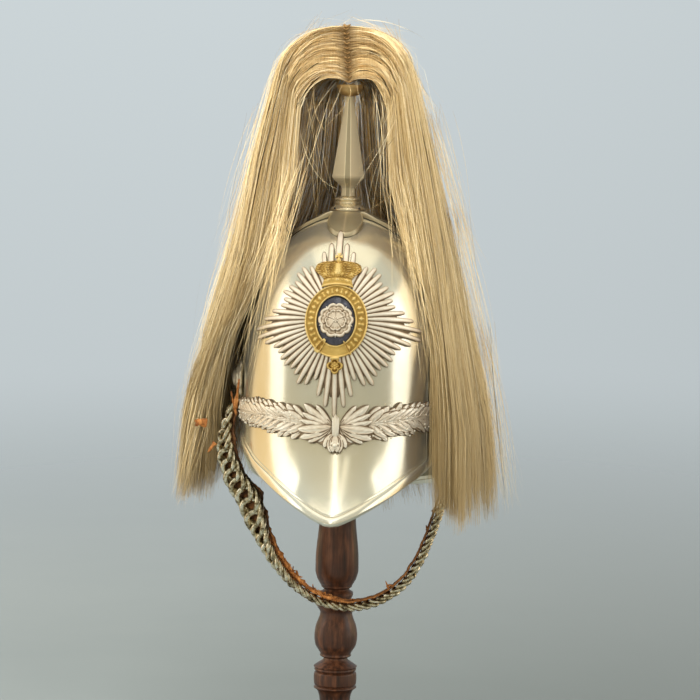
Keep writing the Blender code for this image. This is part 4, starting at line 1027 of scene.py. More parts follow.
def crown_rays(shape):
    """Broad round-ended rays behind the crown."""
    across = crowded(11)
    arch = arched(across)
    share = np.concatenate([np.linspace(0, 0.85, 9), np.linspace(0.88, 1, 8)])[:, None]
    for u, tip, widest in CROWN_RAYS:
        along = CROWN_RAY_FOOT + (tip - CROWN_RAY_FOOT) * share
        full = rounded_tip(tip - along, 1.7 * widest) * (1 - 0.15 * share)
        at = u * (0.62 + 0.38 * along / tip) + across * widest * full
        height = STAR_VALLEY + CROWN_RAY_HEIGHT * arch**0.6 * full**0.5
        # Crests painted bright and edges dark: wear with painted highlights and painted shade
        wear_and_painted_light = 0.05 + 0.72 * smoothstep((arch * full - 0.30) / 0.40)
        shape.cap(on_plate(at, along, height), on_plate(at, along, STAR_BACK), wear_and_painted_light)


def belt_pattern(turn, across, ground):
    """Raised lozenges and pairs of beads on the belt's ground, in metres."""
    unit_length = 2 * math.pi * BELT_MEAN_RADIUS / BELT_UNITS
    at = turn * BELT_UNITS / (2 * math.pi)
    x = (at - np.round(at)) * unit_length
    y = across * ground
    even = np.round(at) % 2 == 0
    lozenge = np.clip(1.25 - np.abs(x) / 0.0014 - np.abs(y) / 0.0022, 0, 0.6) / 0.6
    bead_pair = bump_at(np.hypot(x, np.abs(y) - 0.0014), 0, 0.0009)
    beads = np.maximum(bead_pair, bump_at(np.hypot(x, y), 0, 0.0006))
    return np.where(belt_plain(turn), 0, np.where(even, lozenge, beads))


def belt_plain(turn):
    """The smooth overlap at the bottom of the belt."""
    return np.abs(turn - math.pi) < BELT_PLAIN


def on_belt(turn, share, w):
    """Points of the belt at shares of its width, from its outer edge to its inner one."""
    half_u, half_v = (outer + (inner - outer) * share for outer, inner in zip(BELT_OUTER, BELT_INNER))
    return on_oval(turn, half_u, half_v, w)


def belt_section():
    """Shares of the belt's width and how deep each lies under its top, from foot to foot."""
    half = ((0.0, BELT_TOP - BELT_BACK), *BELT_RIM)
    ground = [(share, BELT_GROUND_DEPTH) for share in np.linspace(*BELT_GROUND, BELT_GROUND_ROWS)]
    other_half = [(1 - share, depth) for share, depth in half[::-1]]
    return np.array([*half, *ground, *other_half])


def belt(finish):
    """Oval belt with beads and lozenges between raised rims."""
    turn = whole_turn(440)
    share, depth = belt_section().T[..., None]
    on_rim = depth < BELT_RIM_DEPTH
    raised = belt_pattern(turn, share - 0.5, BELT_OUTER[0] - BELT_INNER[0])
    raised = np.where(np.abs(share - 0.5) < 0.33, raised, 0)
    # The ground lies darker than the rims and the raised beads and lozenges: grime with painted shade in the
    # recesses
    relief = np.where(on_rim, 0.92, 0.36) + 0.62 * raised
    relief = np.where(belt_plain(turn) & ~on_rim, 0.72, relief)
    shape = Shape()
    height = BELT_TOP - depth + BELT_RELIEF * raised
    shape.grid(on_belt(turn, share, height), relief, loop=True, rows_loop=True)
    buckle(shape)
    shape.made("belt", finish, GILT, ["belt_ring"])


def buckle(shape):
    """Frame and keeper of the belt's buckle, squarish loops of wire to one side of the bottom."""
    loop, wire = whole_turn(40).T, whole_turn(8)
    square = 1 / (np.abs(np.cos(loop)) ** 4 + np.abs(np.sin(loop)) ** 4) ** 0.25
    for middle, half_arc, thick in BUCKLE:
        size = square * (1 + 0.20 * np.cos(wire) * thick / BUCKLE[0][2])
        angle = middle + half_arc * np.cos(loop) * size
        share = 0.5 + 0.56 * np.sin(loop) * size
        height = BELT_TOP + 0.0004 + thick * np.sin(wire)
        shape.grid(on_belt(angle, share, height), 0.9, loop=True, rows_loop=True)


def enamel(finish):
    """Low dome inside the belt."""
    share = np.linspace(0.02, 1 - 0.0003 / BELT_INNER[0], 14)[:, None]
    height = ENAMEL_EDGE + (ENAMEL_DOME - ENAMEL_EDGE) * (1 - share**2)
    rows = np.concatenate([share, share[::-1]])
    heights = np.concatenate([height, np.full_like(height, BELT_BACK)])
    shape = Shape()
    points = on_oval(whole_turn(72), BELT_INNER[0] * rows, BELT_INNER[1] * rows, heights)
    shape.grid(points, loop=True, ends=True)
    shape.made("enamel_ground", finish, "enamel", ["enamel_oval"])


def petal(radius, to_axis, reach):
    """Outline radius, height and brightness of a petal with two curled lobes. to_axis is -1 to 1."""
    side = np.abs(to_axis)
    outline = reach * (1 - 0.16 * side**4 - 0.08 * bump_at(to_axis, 0, 0.17))
    q = radius / outline
    curl = bump_at(q, 0.91, 0.075) * (1 - 0.6 * side**6)
    hollow = bump_at(np.hypot((side - 0.46) * 0.62, q - 0.74), 0, 0.12)
    fold = bump_at(to_axis, 0, 0.07) * smoothstep((q - 0.55) / 0.3)
    line = bump_at(q, 0.81, 0.035) + bump_at(q, 1.0, 0.03)
    parting = smoothstep((1 - side) / 0.12)
    height = (0.0009 + 0.0006 * curl - 0.0005 * hollow - 0.0003 * fold) * (0.25 + 0.75 * parting)
    # Painted highlights on the curled rims; painted shade in the hollow, the fold, the dark lines and the
    # partings between petals
    bright = 0.74 + 0.14 * curl - 0.20 * hollow - 0.25 * fold - 0.42 * line - 0.45 * (1 - parting)
    return outline, height, bright


def rose_relief(turn, share):
    """Radius, height and brightness of a double rose, at angles and shares of its outline."""
    part = math.pi / 5
    to_outer = (np.remainder(turn + part, 2 * part) - part) / part
    to_inner = (np.remainder(turn, 2 * part) - part) / part
    sepal_at = part * (1 - np.abs(to_outer))
    outline = petal(0 * turn, to_outer, ROSE_RADIUS)[0]
    outline = np.maximum(outline, ROSE_RADIUS * 0.99 - 0.030 * sepal_at)
    radius = outline * share
    _, height, bright = petal(radius, to_outer, ROSE_RADIUS)
    sepal = bump_at(sepal_at * radius, 0, 0.0006) * smoothstep((radius - 0.0105) / 0.001)
    height, bright = height + 0.0008 * sepal, bright + 0.7 * sepal
    inner_outline, inner_height, inner_bright = petal(radius, to_inner, ROSE_INNER)
    inside = radius < inner_outline
    shadow = bump_at(radius, inner_outline + 0.0002, 0.0007)
    height = np.where(inside, 0.0010 + inner_height, height)
    bright = np.where(inside, inner_bright, bright - 0.45 * shadow)
    seeds = 0.5 + 0.5 * np.cos(6 * turn) * bump_at(radius, ROSE_SEED * 0.62, 0.0009)
    eye = smoothstep((ROSE_SEED - radius) / 0.0005)
    height = height + eye * (0.0006 + 0.0005 * seeds)
    bright = bright * (1 - eye) + eye * (0.4 + 0.6 * seeds)
    edge = smoothstep((1 - share) / 0.05)
    return radius, height * (0.4 + 0.6 * edge), np.clip(bright, 0.05, 1)


def rose(finish):
    """Double rose with five outer and five inner petals, sepals between them and a seeded middle."""
    turn = whole_turn(220)
    radius, height, relief = rose_relief(turn, np.linspace(0.02, 1, 48)[:, None])
    top = on_oval(turn, radius, radius, ROSE_BACK + height)
    base = on_oval(turn, radius[-1:], radius[-1:], ROSE_BACK)
    shape = Shape()
    shape.grid(np.concatenate([top, base]), np.concatenate([relief, relief[-1:]]), loop=True, ends=True)
    shape.made("rose_badge", finish, WORN, ["rose"])


def drop(finish):
    """Lobed ornament under the belt: a small flower between four lobes, on a bar, its piercings shown as
    dips painted dark as shade.
    """
    turn = whole_turn(120)
    share = np.linspace(0.03, 1, 18)[:, None]
    lobes = np.abs(np.cos(2 * turn))
    radius = DROP_RADIUS * (0.76 + 0.24 * lobes**0.7 + 0.06 * np.cos(4 * turn)) * share
    flower = 0.0012 * bump_at(share, 0.34, 0.10) * (0.6 + 0.4 * np.cos(6 * turn))
    flower = flower + 0.0010 * bump_at(share, 0, 0.14)
    edge = 0.0010 * bump_at(share, 0.86, 0.10)
    hole = 0.0014 * bump_at(share, 0.62, 0.07) * (lobes > 0.45)
    raised = flower + edge - hole
    shape = Shape()
    # Raised parts painted brighter and the dips darker: grime with painted shade, the dark dips standing for
    # the piercings
    relief = np.clip(0.55 + 350 * raised, 0.05, 1)
    top = on_oval(turn, radius, radius, BELT_BACK + 0.0016 + raised, DROP_CENTRE_V)
    under = on_oval(turn, radius, radius, BELT_BACK, DROP_CENTRE_V)[::-1]
    rows = np.concatenate([top, under])
    shape.grid(rows, np.concatenate([relief, relief[::-1]]), loop=True, ends=True)
    bar_u = np.linspace(-DROP_BAR_HALF, DROP_BAR_HALF, 9)[None]
    rise = np.linspace(-0.0009, 0.0009, 6)[:, None]
    bar_v = DROP_CENTRE_V + DROP_BAR_RISE + rise
    height = BELT_TOP - 0.0004 + 0.0014 * arched(rise / 0.0010)
    shape.slab(on_plate(bar_u, bar_v, height), on_plate(bar_u, bar_v, BELT_BACK), 0.9)
    shape.made("belt_end", finish, GILT, ["belt_drop"])


def dots(s, v, row):
    """Round bumps, 1 at the middle of each, from a row of their places, height, scales and size."""
    places, middle_v, across_scale, up_scale, size = row
    up = (v - middle_v) * up_scale
    return sum(bump_at(np.hypot((s - at) * across_scale, up), 0, size) for at in places)


def crown_height(s, v):
    """Relief of the crown over its ground and how bright it is painted, darker down to the ground as grime
    with painted shade, at s across and v up.
    """
    cord = bump_at(v, CROWN_CORD_V, 0.0008)
    banded = 0.0004 + 0.0013 * cord + 0.0014 * dots(s, v, CROWN_JEWELS) + 0.0008 * dots(s, v, CROWN_SEEDS)
    climb = np.clip((v - 0.0385) / 0.0155, 0, 1)
    pearls = 0.45 + 0.55 * np.cos(v / 0.00155 * 2 * math.pi)
    arches = sum(bump_at(s, middle * (1 - 0.22 * climb**2), 0.075) for middle in CROWN_ARCHES)
    across = np.maximum(0, np.cos(s * 46 + 1.4 * np.sin(v * 1500)))
    between = across * np.maximum(0, np.cos(v / 0.00165 * 2 * math.pi + 1.6 * np.sin(s * 9)))
    puffs = np.abs(np.sin((s - 0.50) * math.pi / 0.43)) ** 0.8 * (np.abs(s) > 0.5)
    lily = bump_at(s, 0, 0.13) * smoothstep((v - 0.0400) / 0.002) + 0.8 * dots(s, v, CROWN_LILY)
    upper = 0.0002 * puffs + 0.0014 * arches * pearls + 0.0011 * between
    upper = upper + 0.0011 * lily + 0.0010 * dots(s, v, CROWN_SPRIGS)
    height = np.where(v < CROWN_BAND_TOP_V, banded, np.where(v < CROWN_ARCH_FOOT_V, 0.0, upper))
    # Brightness grows with height: the low ground is painted dark as grime and shade
    return height, np.clip(0.20 + height / 0.0010 * 0.80, 0.05, 1)


def crown(finish):
    """Arched crown in low relief, with an orb and a cross on top."""
    v = np.linspace(CROWN_ROWS[0][0], CROWN_ROWS[-1][0], 100)[:, None]
    s = crowded(130)
    half, relief = read(CROWN_ROWS, v)
    raised, bright = crown_height(s, v)
    bow = 0.0018 * (1 - s**2) * smoothstep((0.046 - v) / 0.015)
    dip = 0.0022 * bump_at(s, 0, 0.34) * smoothstep((v - 0.046) / 0.008)
    u, up = s * half, v - CROWN_DROP - dip + bow
    top = on_plate(u, up, CROWN_BACK + 0.0006 + relief * arched(s) + raised)
    shape = Shape()
    shape.cap(top, on_plate(u, up, CROWN_BACK), bright)
    shape.ball(on_plate(0.0, CROWN_ORB_V - CROWN_DROP, CROWN_BACK + 0.0022), CROWN_ORB_RADIUS)
    arm = np.linspace(0, 1, 6)[:, None]
    side = np.linspace(-1, 1, 7)[None]
    height = CROWN_BACK + 0.0026 + 0.0005 * (1 - side**2)
    for turn in range(4):
        u, v = turned_by(turn * math.pi / 2, CROWN_CROSS_ARM * arm, side * (0.0005 + 0.0013 * arm**1.5))
        v = v + CROWN_CROSS_V - CROWN_DROP
        shape.slab(on_plate(u, v, height), on_plate(u, v, CROWN_BACK + 0.0010), 0.95)
    shape.made("royal_crown", finish, GILT, ["crown"])


# Wreath


def on_wall(phi, z, out):
    """Points of the skull's outside, some way out from it."""
    return polar(phi, wall_radius(phi, z) + out, z)


def leaf(shape, side, phi, z, slant, length, width, lift, bend=0.0):
    """One pointed leaf with a midrib and side veins, springing from a point of the wall."""
    s = np.linspace(0, 1, 12)[:, None]
    q = np.array((-1, -0.86, -0.68, -0.42, -0.14, 0.14, 0.42, 0.68, 0.86, 1))[None]
    half = width / 2 * np.maximum(2.02 * s**0.66 * (1 - s) ** 0.62, 0.04)
    turn = slant + bend * s
    along, up = length * s * np.cos(turn), length * s * np.sin(turn)
    arc = (along - half * q * np.sin(turn)) / plan_radius(phi)
    height = z + up + half * q * np.cos(turn)
    rib = bump_at(q, 0, 0.17) * (1 - s)
    veins = np.cos(2 * math.pi * (s * 7 - np.abs(q) * 1.1)) * (1 - rib) * (1 - q**4)
    cupped = 0.0009 * (1 - q**2) ** 0.6 - 0.0007 * bump_at(np.abs(q), 0.42, 0.30)
    out = cupped + 0.0008 * rib + 0.00010 * veins + LEAF_RISE * s * (1.25 - s)
    trim = np.maximum(0.2, np.minimum(1, half / (0.3 * width)))
    edge = smoothstep((np.abs(q) - 0.60) / 0.25)
    middle = bump_at(q, 0, 0.22) * (1 - s)
    # Painted shade darkens the edges where leaves overlap; the middle near the stem is darker and the leaf
    # lighter towards its tip
    relief = np.clip(0.84 - 0.36 * middle + 0.10 * veins + 0.14 * s - 0.85 * edge, 0.02, 1)
    depths = (WREATH_BACK + lift + out * trim, WREATH_BACK * 0.5)
    shape.cap(*(on_wall(side * (phi + arc), height, depth) for depth in depths), relief)


def wreath_ground(shape):
    """Dark backing of worn silver under the leaves, inside the band's edges: tarnish with painted shade
    between the leaves.
    """
    turn = np.radians(np.linspace(-79, 79, 240))[None]
    low, high = read(WREATH, np.degrees(np.abs(turn[0])))
    rows = np.linspace(0, 1, 9)[:, None]
    z = low + (high - low) * (0.14 + 0.58 * rows)
    out = WREATH_BACK + 0.0004 + 0.0005 * np.sin(np.pi * rows)
    shape.slab(on_wall(turn, z, out), on_wall(turn, z, WREATH_BACK * 0.5), 0.30)


def wreath(finish):
    """Overlapping laurel leaves either side of a stem, fanned out round a knot in the middle."""
    shape = Shape()
    wreath_ground(shape)
    for side in (-1, 1):
        azimuth = LEAF_STATIONS[-1][0]
        while azimuth > LEAF_STATIONS[0][0]:
            length, width = read(LEAF_STATIONS, azimuth)
            low, high = read(WREATH, azimuth)
            middle, half = (low + high) / 2, (high - low) / 2
            for slant, share, lift in LEAF_SLANTS:
                turned_to = math.radians(slant + RANDOM.uniform(-4, 4))
                room = 1.06 * half / max(abs(math.sin(turned_to)), 0.2)
                reach = min(length * share, room) * RANDOM.uniform(0.94, 1.04)
                bend = -math.copysign(RANDOM.uniform(0.10, 0.34), slant)
                phi = math.radians(azimuth + RANDOM.uniform(-0.5, 0.5))
                leaf(shape, side, phi, middle, turned_to, reach, width, lift, bend)
            for _ in range(3):
                phi = math.radians(azimuth + RANDOM.uniform(0, 5))
                z = middle + RANDOM.uniform(-0.85, 0.85) * half
                shape.ball(on_wall(side * phi, z, WREATH_BACK + 0.0020), 0.0008, rows=5, columns=8)
            azimuth -= LEAF_PITCH_DEG
        for slant, length, width, lift in FAN_LEAVES:
            phi = math.radians(FAN_AT[0])
            leaf(shape, side, phi, FAN_AT[1], math.radians(slant), length, width, lift, 0.10)
    wreath_middle(shape)
    shape.made("laurel_wreath", finish, WORN, ["wreath"])


def wreath_middle(shape):
    """Almond-shaped knot over a small opening bud."""
    for slant, length, bend in KNOT_LEAVES:
        lift = 0.0026 - 0.00002 * abs(slant + 90)
        leaf(shape, 1, 0.0, KNOT_Z, math.radians(slant), length, KNOT_WIDTH, lift, bend)
    for offset in (-2, 2, -1, 1, 0):
        off = abs(offset)
        at = on_wall(offset * BUD_PITCH / SKULL_FRONT, BUD_Z + 0.0004 * off, WREATH_BACK + 0.0034)
        axes = ((0.0008, 0, 0), (0, 0.0014 + 0.0004 * (2 - off), 0), (0, 0, 0.0112 - 0.0016 * off))
        shape.ball(at, 0, axes, 13, 12)
    for u, z, radius in BUD_BEADS:
        shape.ball(on_wall(u / SKULL_FRONT, z, WREATH_BACK + 0.0044), radius)


# Top of the skull


def crosspiece(finish):
    """Four leaves with raised edges and hollow middles round a coned hub."""
    phi = whole_turn(200)
    longest = np.where(np.cos(phi) > math.sqrt(0.5), CROSS_FRONT_REACH, CROSS_REACH)
    reach = CROSS_WAIST + (longest - CROSS_WAIST) * np.abs(np.cos(2 * phi)) ** 1.6
    share = np.linspace(0, 1, 30)[:, None]
    start = CROSS_HUB * 0.55
    radius = start + (reach - start) * share
    edge = bump_at((1 - share) * (reach - start), 0.0010, 0.0011)
    to_rib = np.abs(np.remainder(phi + math.pi / 4, math.pi / 2) - math.pi / 4) * radius
    rib = bump_at(to_rib, 0, 0.0012)
    relief = 0.40 + 0.55 * edge + 0.30 * rib * smoothstep((radius - 0.02) / 0.01)
    lift = CROSS_BACK + CROSS_THICK * relief - 0.0012 * smoothstep((share - 0.97) / 0.03)
    blend = 1 - (1 - smoothstep((radius - CROSS_HUB * 0.75) / 0.020)) ** 1.5
    surface = (CROSS_HUB_TOP_Z - 0.0003) * (1 - blend) + (dome_z(phi, radius) + lift) * blend
    under = (dome_z(phi, radius) + CROSS_BACK * 0.4)[::-1]
    rows = np.concatenate([polar(phi, radius, surface), polar(phi, radius[::-1], under)])
    # Raised edges and ribs painted bright and the leaves' hollow middles darker than the hub: wear and
    # tarnish with painted highlights and painted shade
    wear_and_painted_light = np.clip(0.66 + 0.34 * edge + 0.30 * rib * blend - 0.34 * blend, 0, 1)
    shape = Shape()
    shape.grid(rows, np.concatenate([wear_and_painted_light, wear_and_painted_light[::-1]]), loop=True, ends=True)
    shape.made("crown_cross", finish, SILVER, ["crosspiece"], sharp_deg=70)


def vents(finish):
    """Four round air holes in the hub's cone, made as near-black balls: painted shade that stands for the
    holes.
    """
    shape = Shape()
    for azimuth in (45, 135, 225, 315):
        shape.ball(polar(math.radians(azimuth), VENT_REACH, CROSS_HUB_TOP_Z + VENT_RISE), VENT_RADIUS)
    shape.made("vents", finish, SILVER)


def turned(name, rows, finish, slot, replaced, sides=72, passes=2, place=None, on_helmet=True, waves=None):
    """A turned form from (radius, height) rows. waves scales the radius, place moves the points."""
    line = softened(rows, passes)
    phi = whole_turn(sides)
    radius = line[:, 0, None] + 0 * phi
    if waves is not None:
        radius = radius * waves(phi, line[:, 0, None])
    points = polar(phi, radius, line[:, 1, None])
    if place is not None:
        points = place(points)
    shape = Shape()
    shape.grid(points, loop=True, ends=True)
    shape.made(name, finish, slot, replaced, on_helmet, 45)


def spike(finish):
    """Eight-sided spike, four broad facets between four narrow ones, with fine edges painted bright as
    highlights and the narrow facets painted dark as shade.
    """
    points, relief = [], []
    for height, half, share in SPIKE_ROWS:
        ring = []
        for a, b in ((1, 0), (0, 1), (-1, 0), (0, -1)):
            for t in (-half * share, half * share):
                ring.append((a * half - b * t, b * half + a * t, height))
        ring = np.array(ring)
        after, before = (unit(np.roll(ring, by, 0) - ring) * SPIKE_EDGE for by in (-1, 1))
        edge = np.stack([ring + before, ring + (before + after) * 0.15, ring + after], 1)
        points.append(edge.reshape(-1, 3))
        relief.append(np.tile(SPIKE_PAINTED_LIGHT, 4))
    shape = Shape()
    shape.grid(np.array(points), np.array(relief), loop=True, ends=True)
    shape.made("spike_blade", finish, SILVER, ["spike"], sharp_deg=12)


def boss(side, name, finish):
    """Rosette boss whose axis runs out of the skull's side."""

    def place(p):
        return np.stack([side * (SKULL_HALF_WIDTH + p[..., 2]), p[..., 0], BOSS_Z + p[..., 1]], -1)

    def petals(phi, radius):
        return 1 + 0.05 * np.cos(10 * phi) * (radius > BOSS_EYE)

    turned(f"rosette_{name}", BOSS_ROWS, finish, GILT, [f"boss_{name}"], 120, place=place, waves=petals)


# Chin chain


def curve_points(route, share):
    """Points at shares of the way along a smooth curve through the route's points."""
    line = np.array(route, float)
    spans = len(line) - 1
    at = np.clip(share, 0, 1) * spans
    i = np.minimum(at.astype(int), spans - 1)
    t = (at - i)[..., None]
    a, b, c, d = (line[np.clip(i + k, 0, spans)] for k in (-1, 0, 1, 2))
    return 0.5 * (2 * b + (c - a) * t + (2 * a - 5 * b + 4 * c - d) * t**2 + (3 * b - a - 3 * c + d) * t**3)


def chain_frame(share):
    """Middle, direction, flat side, inner side and width of the chain at shares of its route."""
    step = 0.002
    middle = curve_points(CHAIN_ROUTE, share)
    ahead = unit(curve_points(CHAIN_ROUTE, share + step) - curve_points(CHAIN_ROUTE, share - step))
    turn, width = read(CHAIN_TWIST, share)
    flat = np.array((0.0, 1.0, 0.0))
    flat = unit(flat - ahead * (ahead @ flat)[..., None])
    inner = -np.cross(flat, ahead)
    sine, cosine = (part(np.radians(turn))[..., None] for part in (np.sin, np.cos))
    return middle, ahead, flat * cosine + inner * sine, inner * cosine - flat * sine, width


def link_shares():
    """Shares of the route at which the links lie, each its own pitch from the next."""
    fine = np.linspace(0, 1, 6000)
    steps = np.linalg.norm(np.diff(curve_points(CHAIN_ROUTE, fine), axis=0), axis=1)
    travelled = np.concatenate([[0], np.cumsum(steps)])
    shares, at = [], CHAIN_ENDS[0]
    while at < travelled[-1] - CHAIN_ENDS[1]:
        share = float(np.interp(at, travelled, fine))
        shares.append(share)
        at += float(read(LINKS, share)[0])
    return shares


def chain(finish):
    """Whole curb links, each carried over one side of the next and under the other."""
    shape = Shape()
    ring, wire = whole_turn(26).T[..., None], whole_turn(8)[..., None]
    for share in link_shares():
        _, half_long, thick, lift = read(LINKS, share)
        middle, ahead, flat, inner, width = chain_frame(np.array(share))
        half_wide = width / 2 - thick
        spoke = ahead * np.cos(ring) * half_long + flat * np.sin(ring) * half_wide
        centre = middle + spoke + inner * lift * np.sin(2 * ring)
        centre = centre + (inner * RANDOM.uniform(-0.0003, 0.0003) + flat * RANDOM.uniform(-0.0004, 0.0004))
        round_wire = unit(spoke) * np.cos(wire) + inner * np.sin(wire)
        shape.grid(centre + round_wire * thick, loop=True, rows_loop=True)
    shape.made("curb_links", finish, "chain_metal", ["chain_links", "chain_band"])


def ragged(count, coarse, fine):
    """A smooth random edge with small tears."""
    waves = 0
    for size, amount in ((15, coarse), (5, fine)):
        waves = waves + amount * np.convolve(RANDOM.normal(0, 1, count), np.hanning(size) / size * 2, "same")
    return waves


def leather(finish):
    """Torn backing strip on the chain's inner side, with ragged edges and curled tatters."""
    shape = Shape()
    count = 420
    share = np.linspace(*LEATHER_RUN, count)
    middle, _, flat, inner, width = chain_frame(share)
    across = np.linspace(-1, 1, 9)[None]
    half = read(LEATHER_HALF, share)[0] * width
    left, right = (half * np.maximum(0.3, 1 + ragged(count, 0.30, 0.10)) for _ in range(2))
    edge = np.where(across < 0, left[:, None], right[:, None]) * across
    lifted = 0.0008 * np.abs(ragged(count, 1.2, 0.2))[:, None]
    off = LEATHER_OFF + lifted + 0.0006 * across**2 * (1 + ragged(count, 0.6, 0.2)[:, None])
    off = off + 0.0001 * RANDOM.normal(0, 1, off.shape)
    start, end, soft = LEATHER_TORN
    torn = smoothstep((share - start) / soft) * smoothstep((end - share) / soft)
    thick = LEATHER_THICK + 0.0016 * (torn * (0.5 + np.abs(ragged(count, 1.0, 0.6))))[:, None]
    place = middle[:, None] + flat[:, None] * edge[..., None]
    top, under = (place + inner[:, None] * (off + high)[..., None] for high in (thick, 0.0))
    shape.slab(top, under, (0.10 + 0.90 * read(LEATHER_WEAR, share)[0])[:, None])
    for start, end, number, longest in TATTERS:
        for at in RANDOM.uniform(start, end, number):
            tatter(shape, float(at), longest)
    for at, lean, long, half in TORN_ENDS:
        torn_end(shape, at, lean, long, half)
    shape.made("torn_backing", finish, "leather", ["chain_leather"])


def tongue(shape, start, lean, broad, length, half, curl):
    """A small ragged flap that runs from a point along lean and curls."""
    up = np.cross(broad, lean)
    s = np.linspace(0, 1, 8)[:, None, None]
    q = np.linspace(-1, 1, 4)[None, :, None]
    taper = (1 - 0.7 * s**1.5) * (1 + 0.22 * RANDOM.normal(0, 1, (8, 1, 1)))
    line = start + lean * length * s + up * curl * length * s**2 + broad * half * q * taper
    shape.slab(line + up * TONGUE_HALF_THICK, line - up * TONGUE_HALF_THICK)


def tatter(shape, share, longest):
    """A torn tongue that lies along the strip and curls off it."""
    middle, ahead, flat, inner, width = chain_frame(np.array(share))
    outward = flat * RANDOM.choice((-1.0, 1.0))
    start = middle + outward * width * RANDOM.uniform(0.05, 0.42) + inner * RANDOM.uniform(*TATTER_OFF)
    lean = ahead * RANDOM.choice((-1.0, 1.0)) + inner * RANDOM.uniform(0.0, 0.45)
    lean = unit(lean + outward * RANDOM.uniform(0.0, 0.4))
    broad = unit(np.cross(lean, inner + flat * RANDOM.uniform(-0.5, 0.5)))
    length = longest * RANDOM.uniform(0.35, 1.0)
    tongue(shape, start, lean, broad, length, RANDOM.uniform(*TATTER_HALF), RANDOM.uniform(-0.4, 0.5))


def torn_end(shape, at, lean, long, half):
    """A long flap that stands off the strip and shows its broad side to the front."""
    lean = unit(np.array(lean, float))
    broad = unit(np.cross(lean, np.array((0.25, -1.0, 0.1))))
    tongue(shape, np.array(at), lean, broad, long, half, 0.12)


# Plume


def hang_point(place, depth, side, height):
    """A point of the hair below the shoulder. place 0 is the front edge, depth 0 the inside."""
    right, left = read(FRONT_EDGE, height)
    edge = right if side > 0 else left
    phi = np.radians(edge + (180 - edge) * place)
    back = np.maximum(0.0, -np.cos(phi)) ** 2
    side_in, side_out, back_in, back_out = read(HANG, height)
    inner = np.maximum(side_in + (back_in - side_in) * back, wall_radius(phi, height) + HAIR_OFF_SKULL)
    outer = side_out + (back_out - side_out) * back
    at = polar(side * phi, inner + (outer - inner) * depth, height)
    at[..., 0] += (PLUME_LEAN + PLUME_SWAY * smoothstep((0.44 - height) / 0.16)) * np.sin(phi)
    return at


def root_point(place, depth):
    """A point of the parting that the hair leaves. place 0 is the front, depth 0 the inner line."""
    in_y, in_z, out_y, out_z = read(PARTING, place)
    z = in_z + (out_z - in_z) * depth
    lean = PLUME_LEAN * (z - PARTING_FOOT_Z) / (PARTING[0][4] - PARTING_FOOT_Z)
    return np.stack([lean, in_y + (out_y - in_y) * depth, z], -1)


def arcs(*corners):
    """Points along cubic curves through four corners each, without the last point."""
    t = (np.arange(ROOT_POINTS) / ROOT_POINTS)[None, :, None]
    a, b, c, d = (corner[:, None] for corner in corners)
    return a * (1 - t) ** 3 + b * 3 * t * (1 - t) ** 2 + c * 3 * t * t * (1 - t) + d * t**3


def tufted(count, low, high, bias):
    """Place and depth of each strand, and of the tuft in which it leaves the parting."""
    tuft_place = RANDOM.uniform(0, 1, TUFTS) ** 1.15
    tuft_depth = low + (high - low) * RANDOM.uniform(0, 1, TUFTS) ** bias
    tuft_place[:FACE_TUFTS] = RANDOM.uniform(0, 0.02, FACE_TUFTS)
    tuft_depth[:FACE_TUFTS] = np.linspace(low, high, FACE_TUFTS)
    tuft = RANDOM.integers(0, TUFTS, count)
    in_face = RANDOM.uniform(0, 1, count) < FACE_SHARE
    tuft = np.where(in_face, RANDOM.integers(0, FACE_TUFTS, count), tuft)
    place = np.abs(tuft_place[tuft] + RANDOM.normal(0, 0.035, count) * np.where(in_face, 0.7, 1))
    place = np.where(place > 1, 2 - place, place)
    depth = np.clip(tuft_depth[tuft] + RANDOM.normal(0, 0.07, count), low - 0.10, high + 0.13)
    return place, depth, tuft_place[tuft], tuft_depth[tuft]


def gathered(place, depth, low, high):
    """The lock that each strand hangs in, and the strand's place and depth at its end."""
    lock_place = (np.arange(LOCKS) + RANDOM.uniform(0.1, 0.9, LOCKS)) / LOCKS
    lock_depth = low + (high - low) * RANDOM.uniform(0.0, 1.0, LOCKS)
    apart = np.abs(place[:, None] - lock_place[None]) + 0.08 * np.abs(depth[:, None] - lock_depth[None])
    lock = np.argmin(apart, 1)
    gather = RANDOM.uniform(-0.2, 0.6, len(place))
    end_place = place + (lock_place[lock] - place) * gather
    return lock, end_place, depth + (lock_depth[lock] - depth) * gather * 0.6


def tip_heights(end_place, depth, lock):
    """Height at which each strand ends, by its place, its lock and chance."""
    count = len(depth)
    tip = read(TIP_Z, end_place)[0] + RANDOM.normal(0, TIP_LOCK_VARIES, LOCKS)[lock]
    tip = tip + TIP_INNER_RISE * (1 - depth)
    tip = tip + np.abs(RANDOM.normal(0, TIP_VARIES, count)) - TIP_BELOW
    short = RANDOM.uniform(0, 1, count) < SHORT_SHARE
    return np.where(short, tip + RANDOM.uniform(*SHORT_BY, count), tip)


def over_shoulder(root, shoulder, depth):
    """Points of each strand from the parting up, out and over to the shoulder."""
    count = len(depth)
    upward = np.array((0, 0, 1))
    outward = (shoulder - root) * np.array((1, 1, 0))
    rise = (PARTING_RISE * (1 - 0.8 * depth) * RANDOM.normal(1, 0.15, count))[:, None] * upward
    leave = root + outward * PARTING_REACH * RANDOM.normal(1, 0.05, (count, 1)) + rise
    climb = (root - shoulder)[:, 2:] * SHOULDER_RISE
    arrive = shoulder + climb * (upward - SHOULDER_SLOPE * unit(outward))
    return arcs(root, leave, arrive, shoulder)


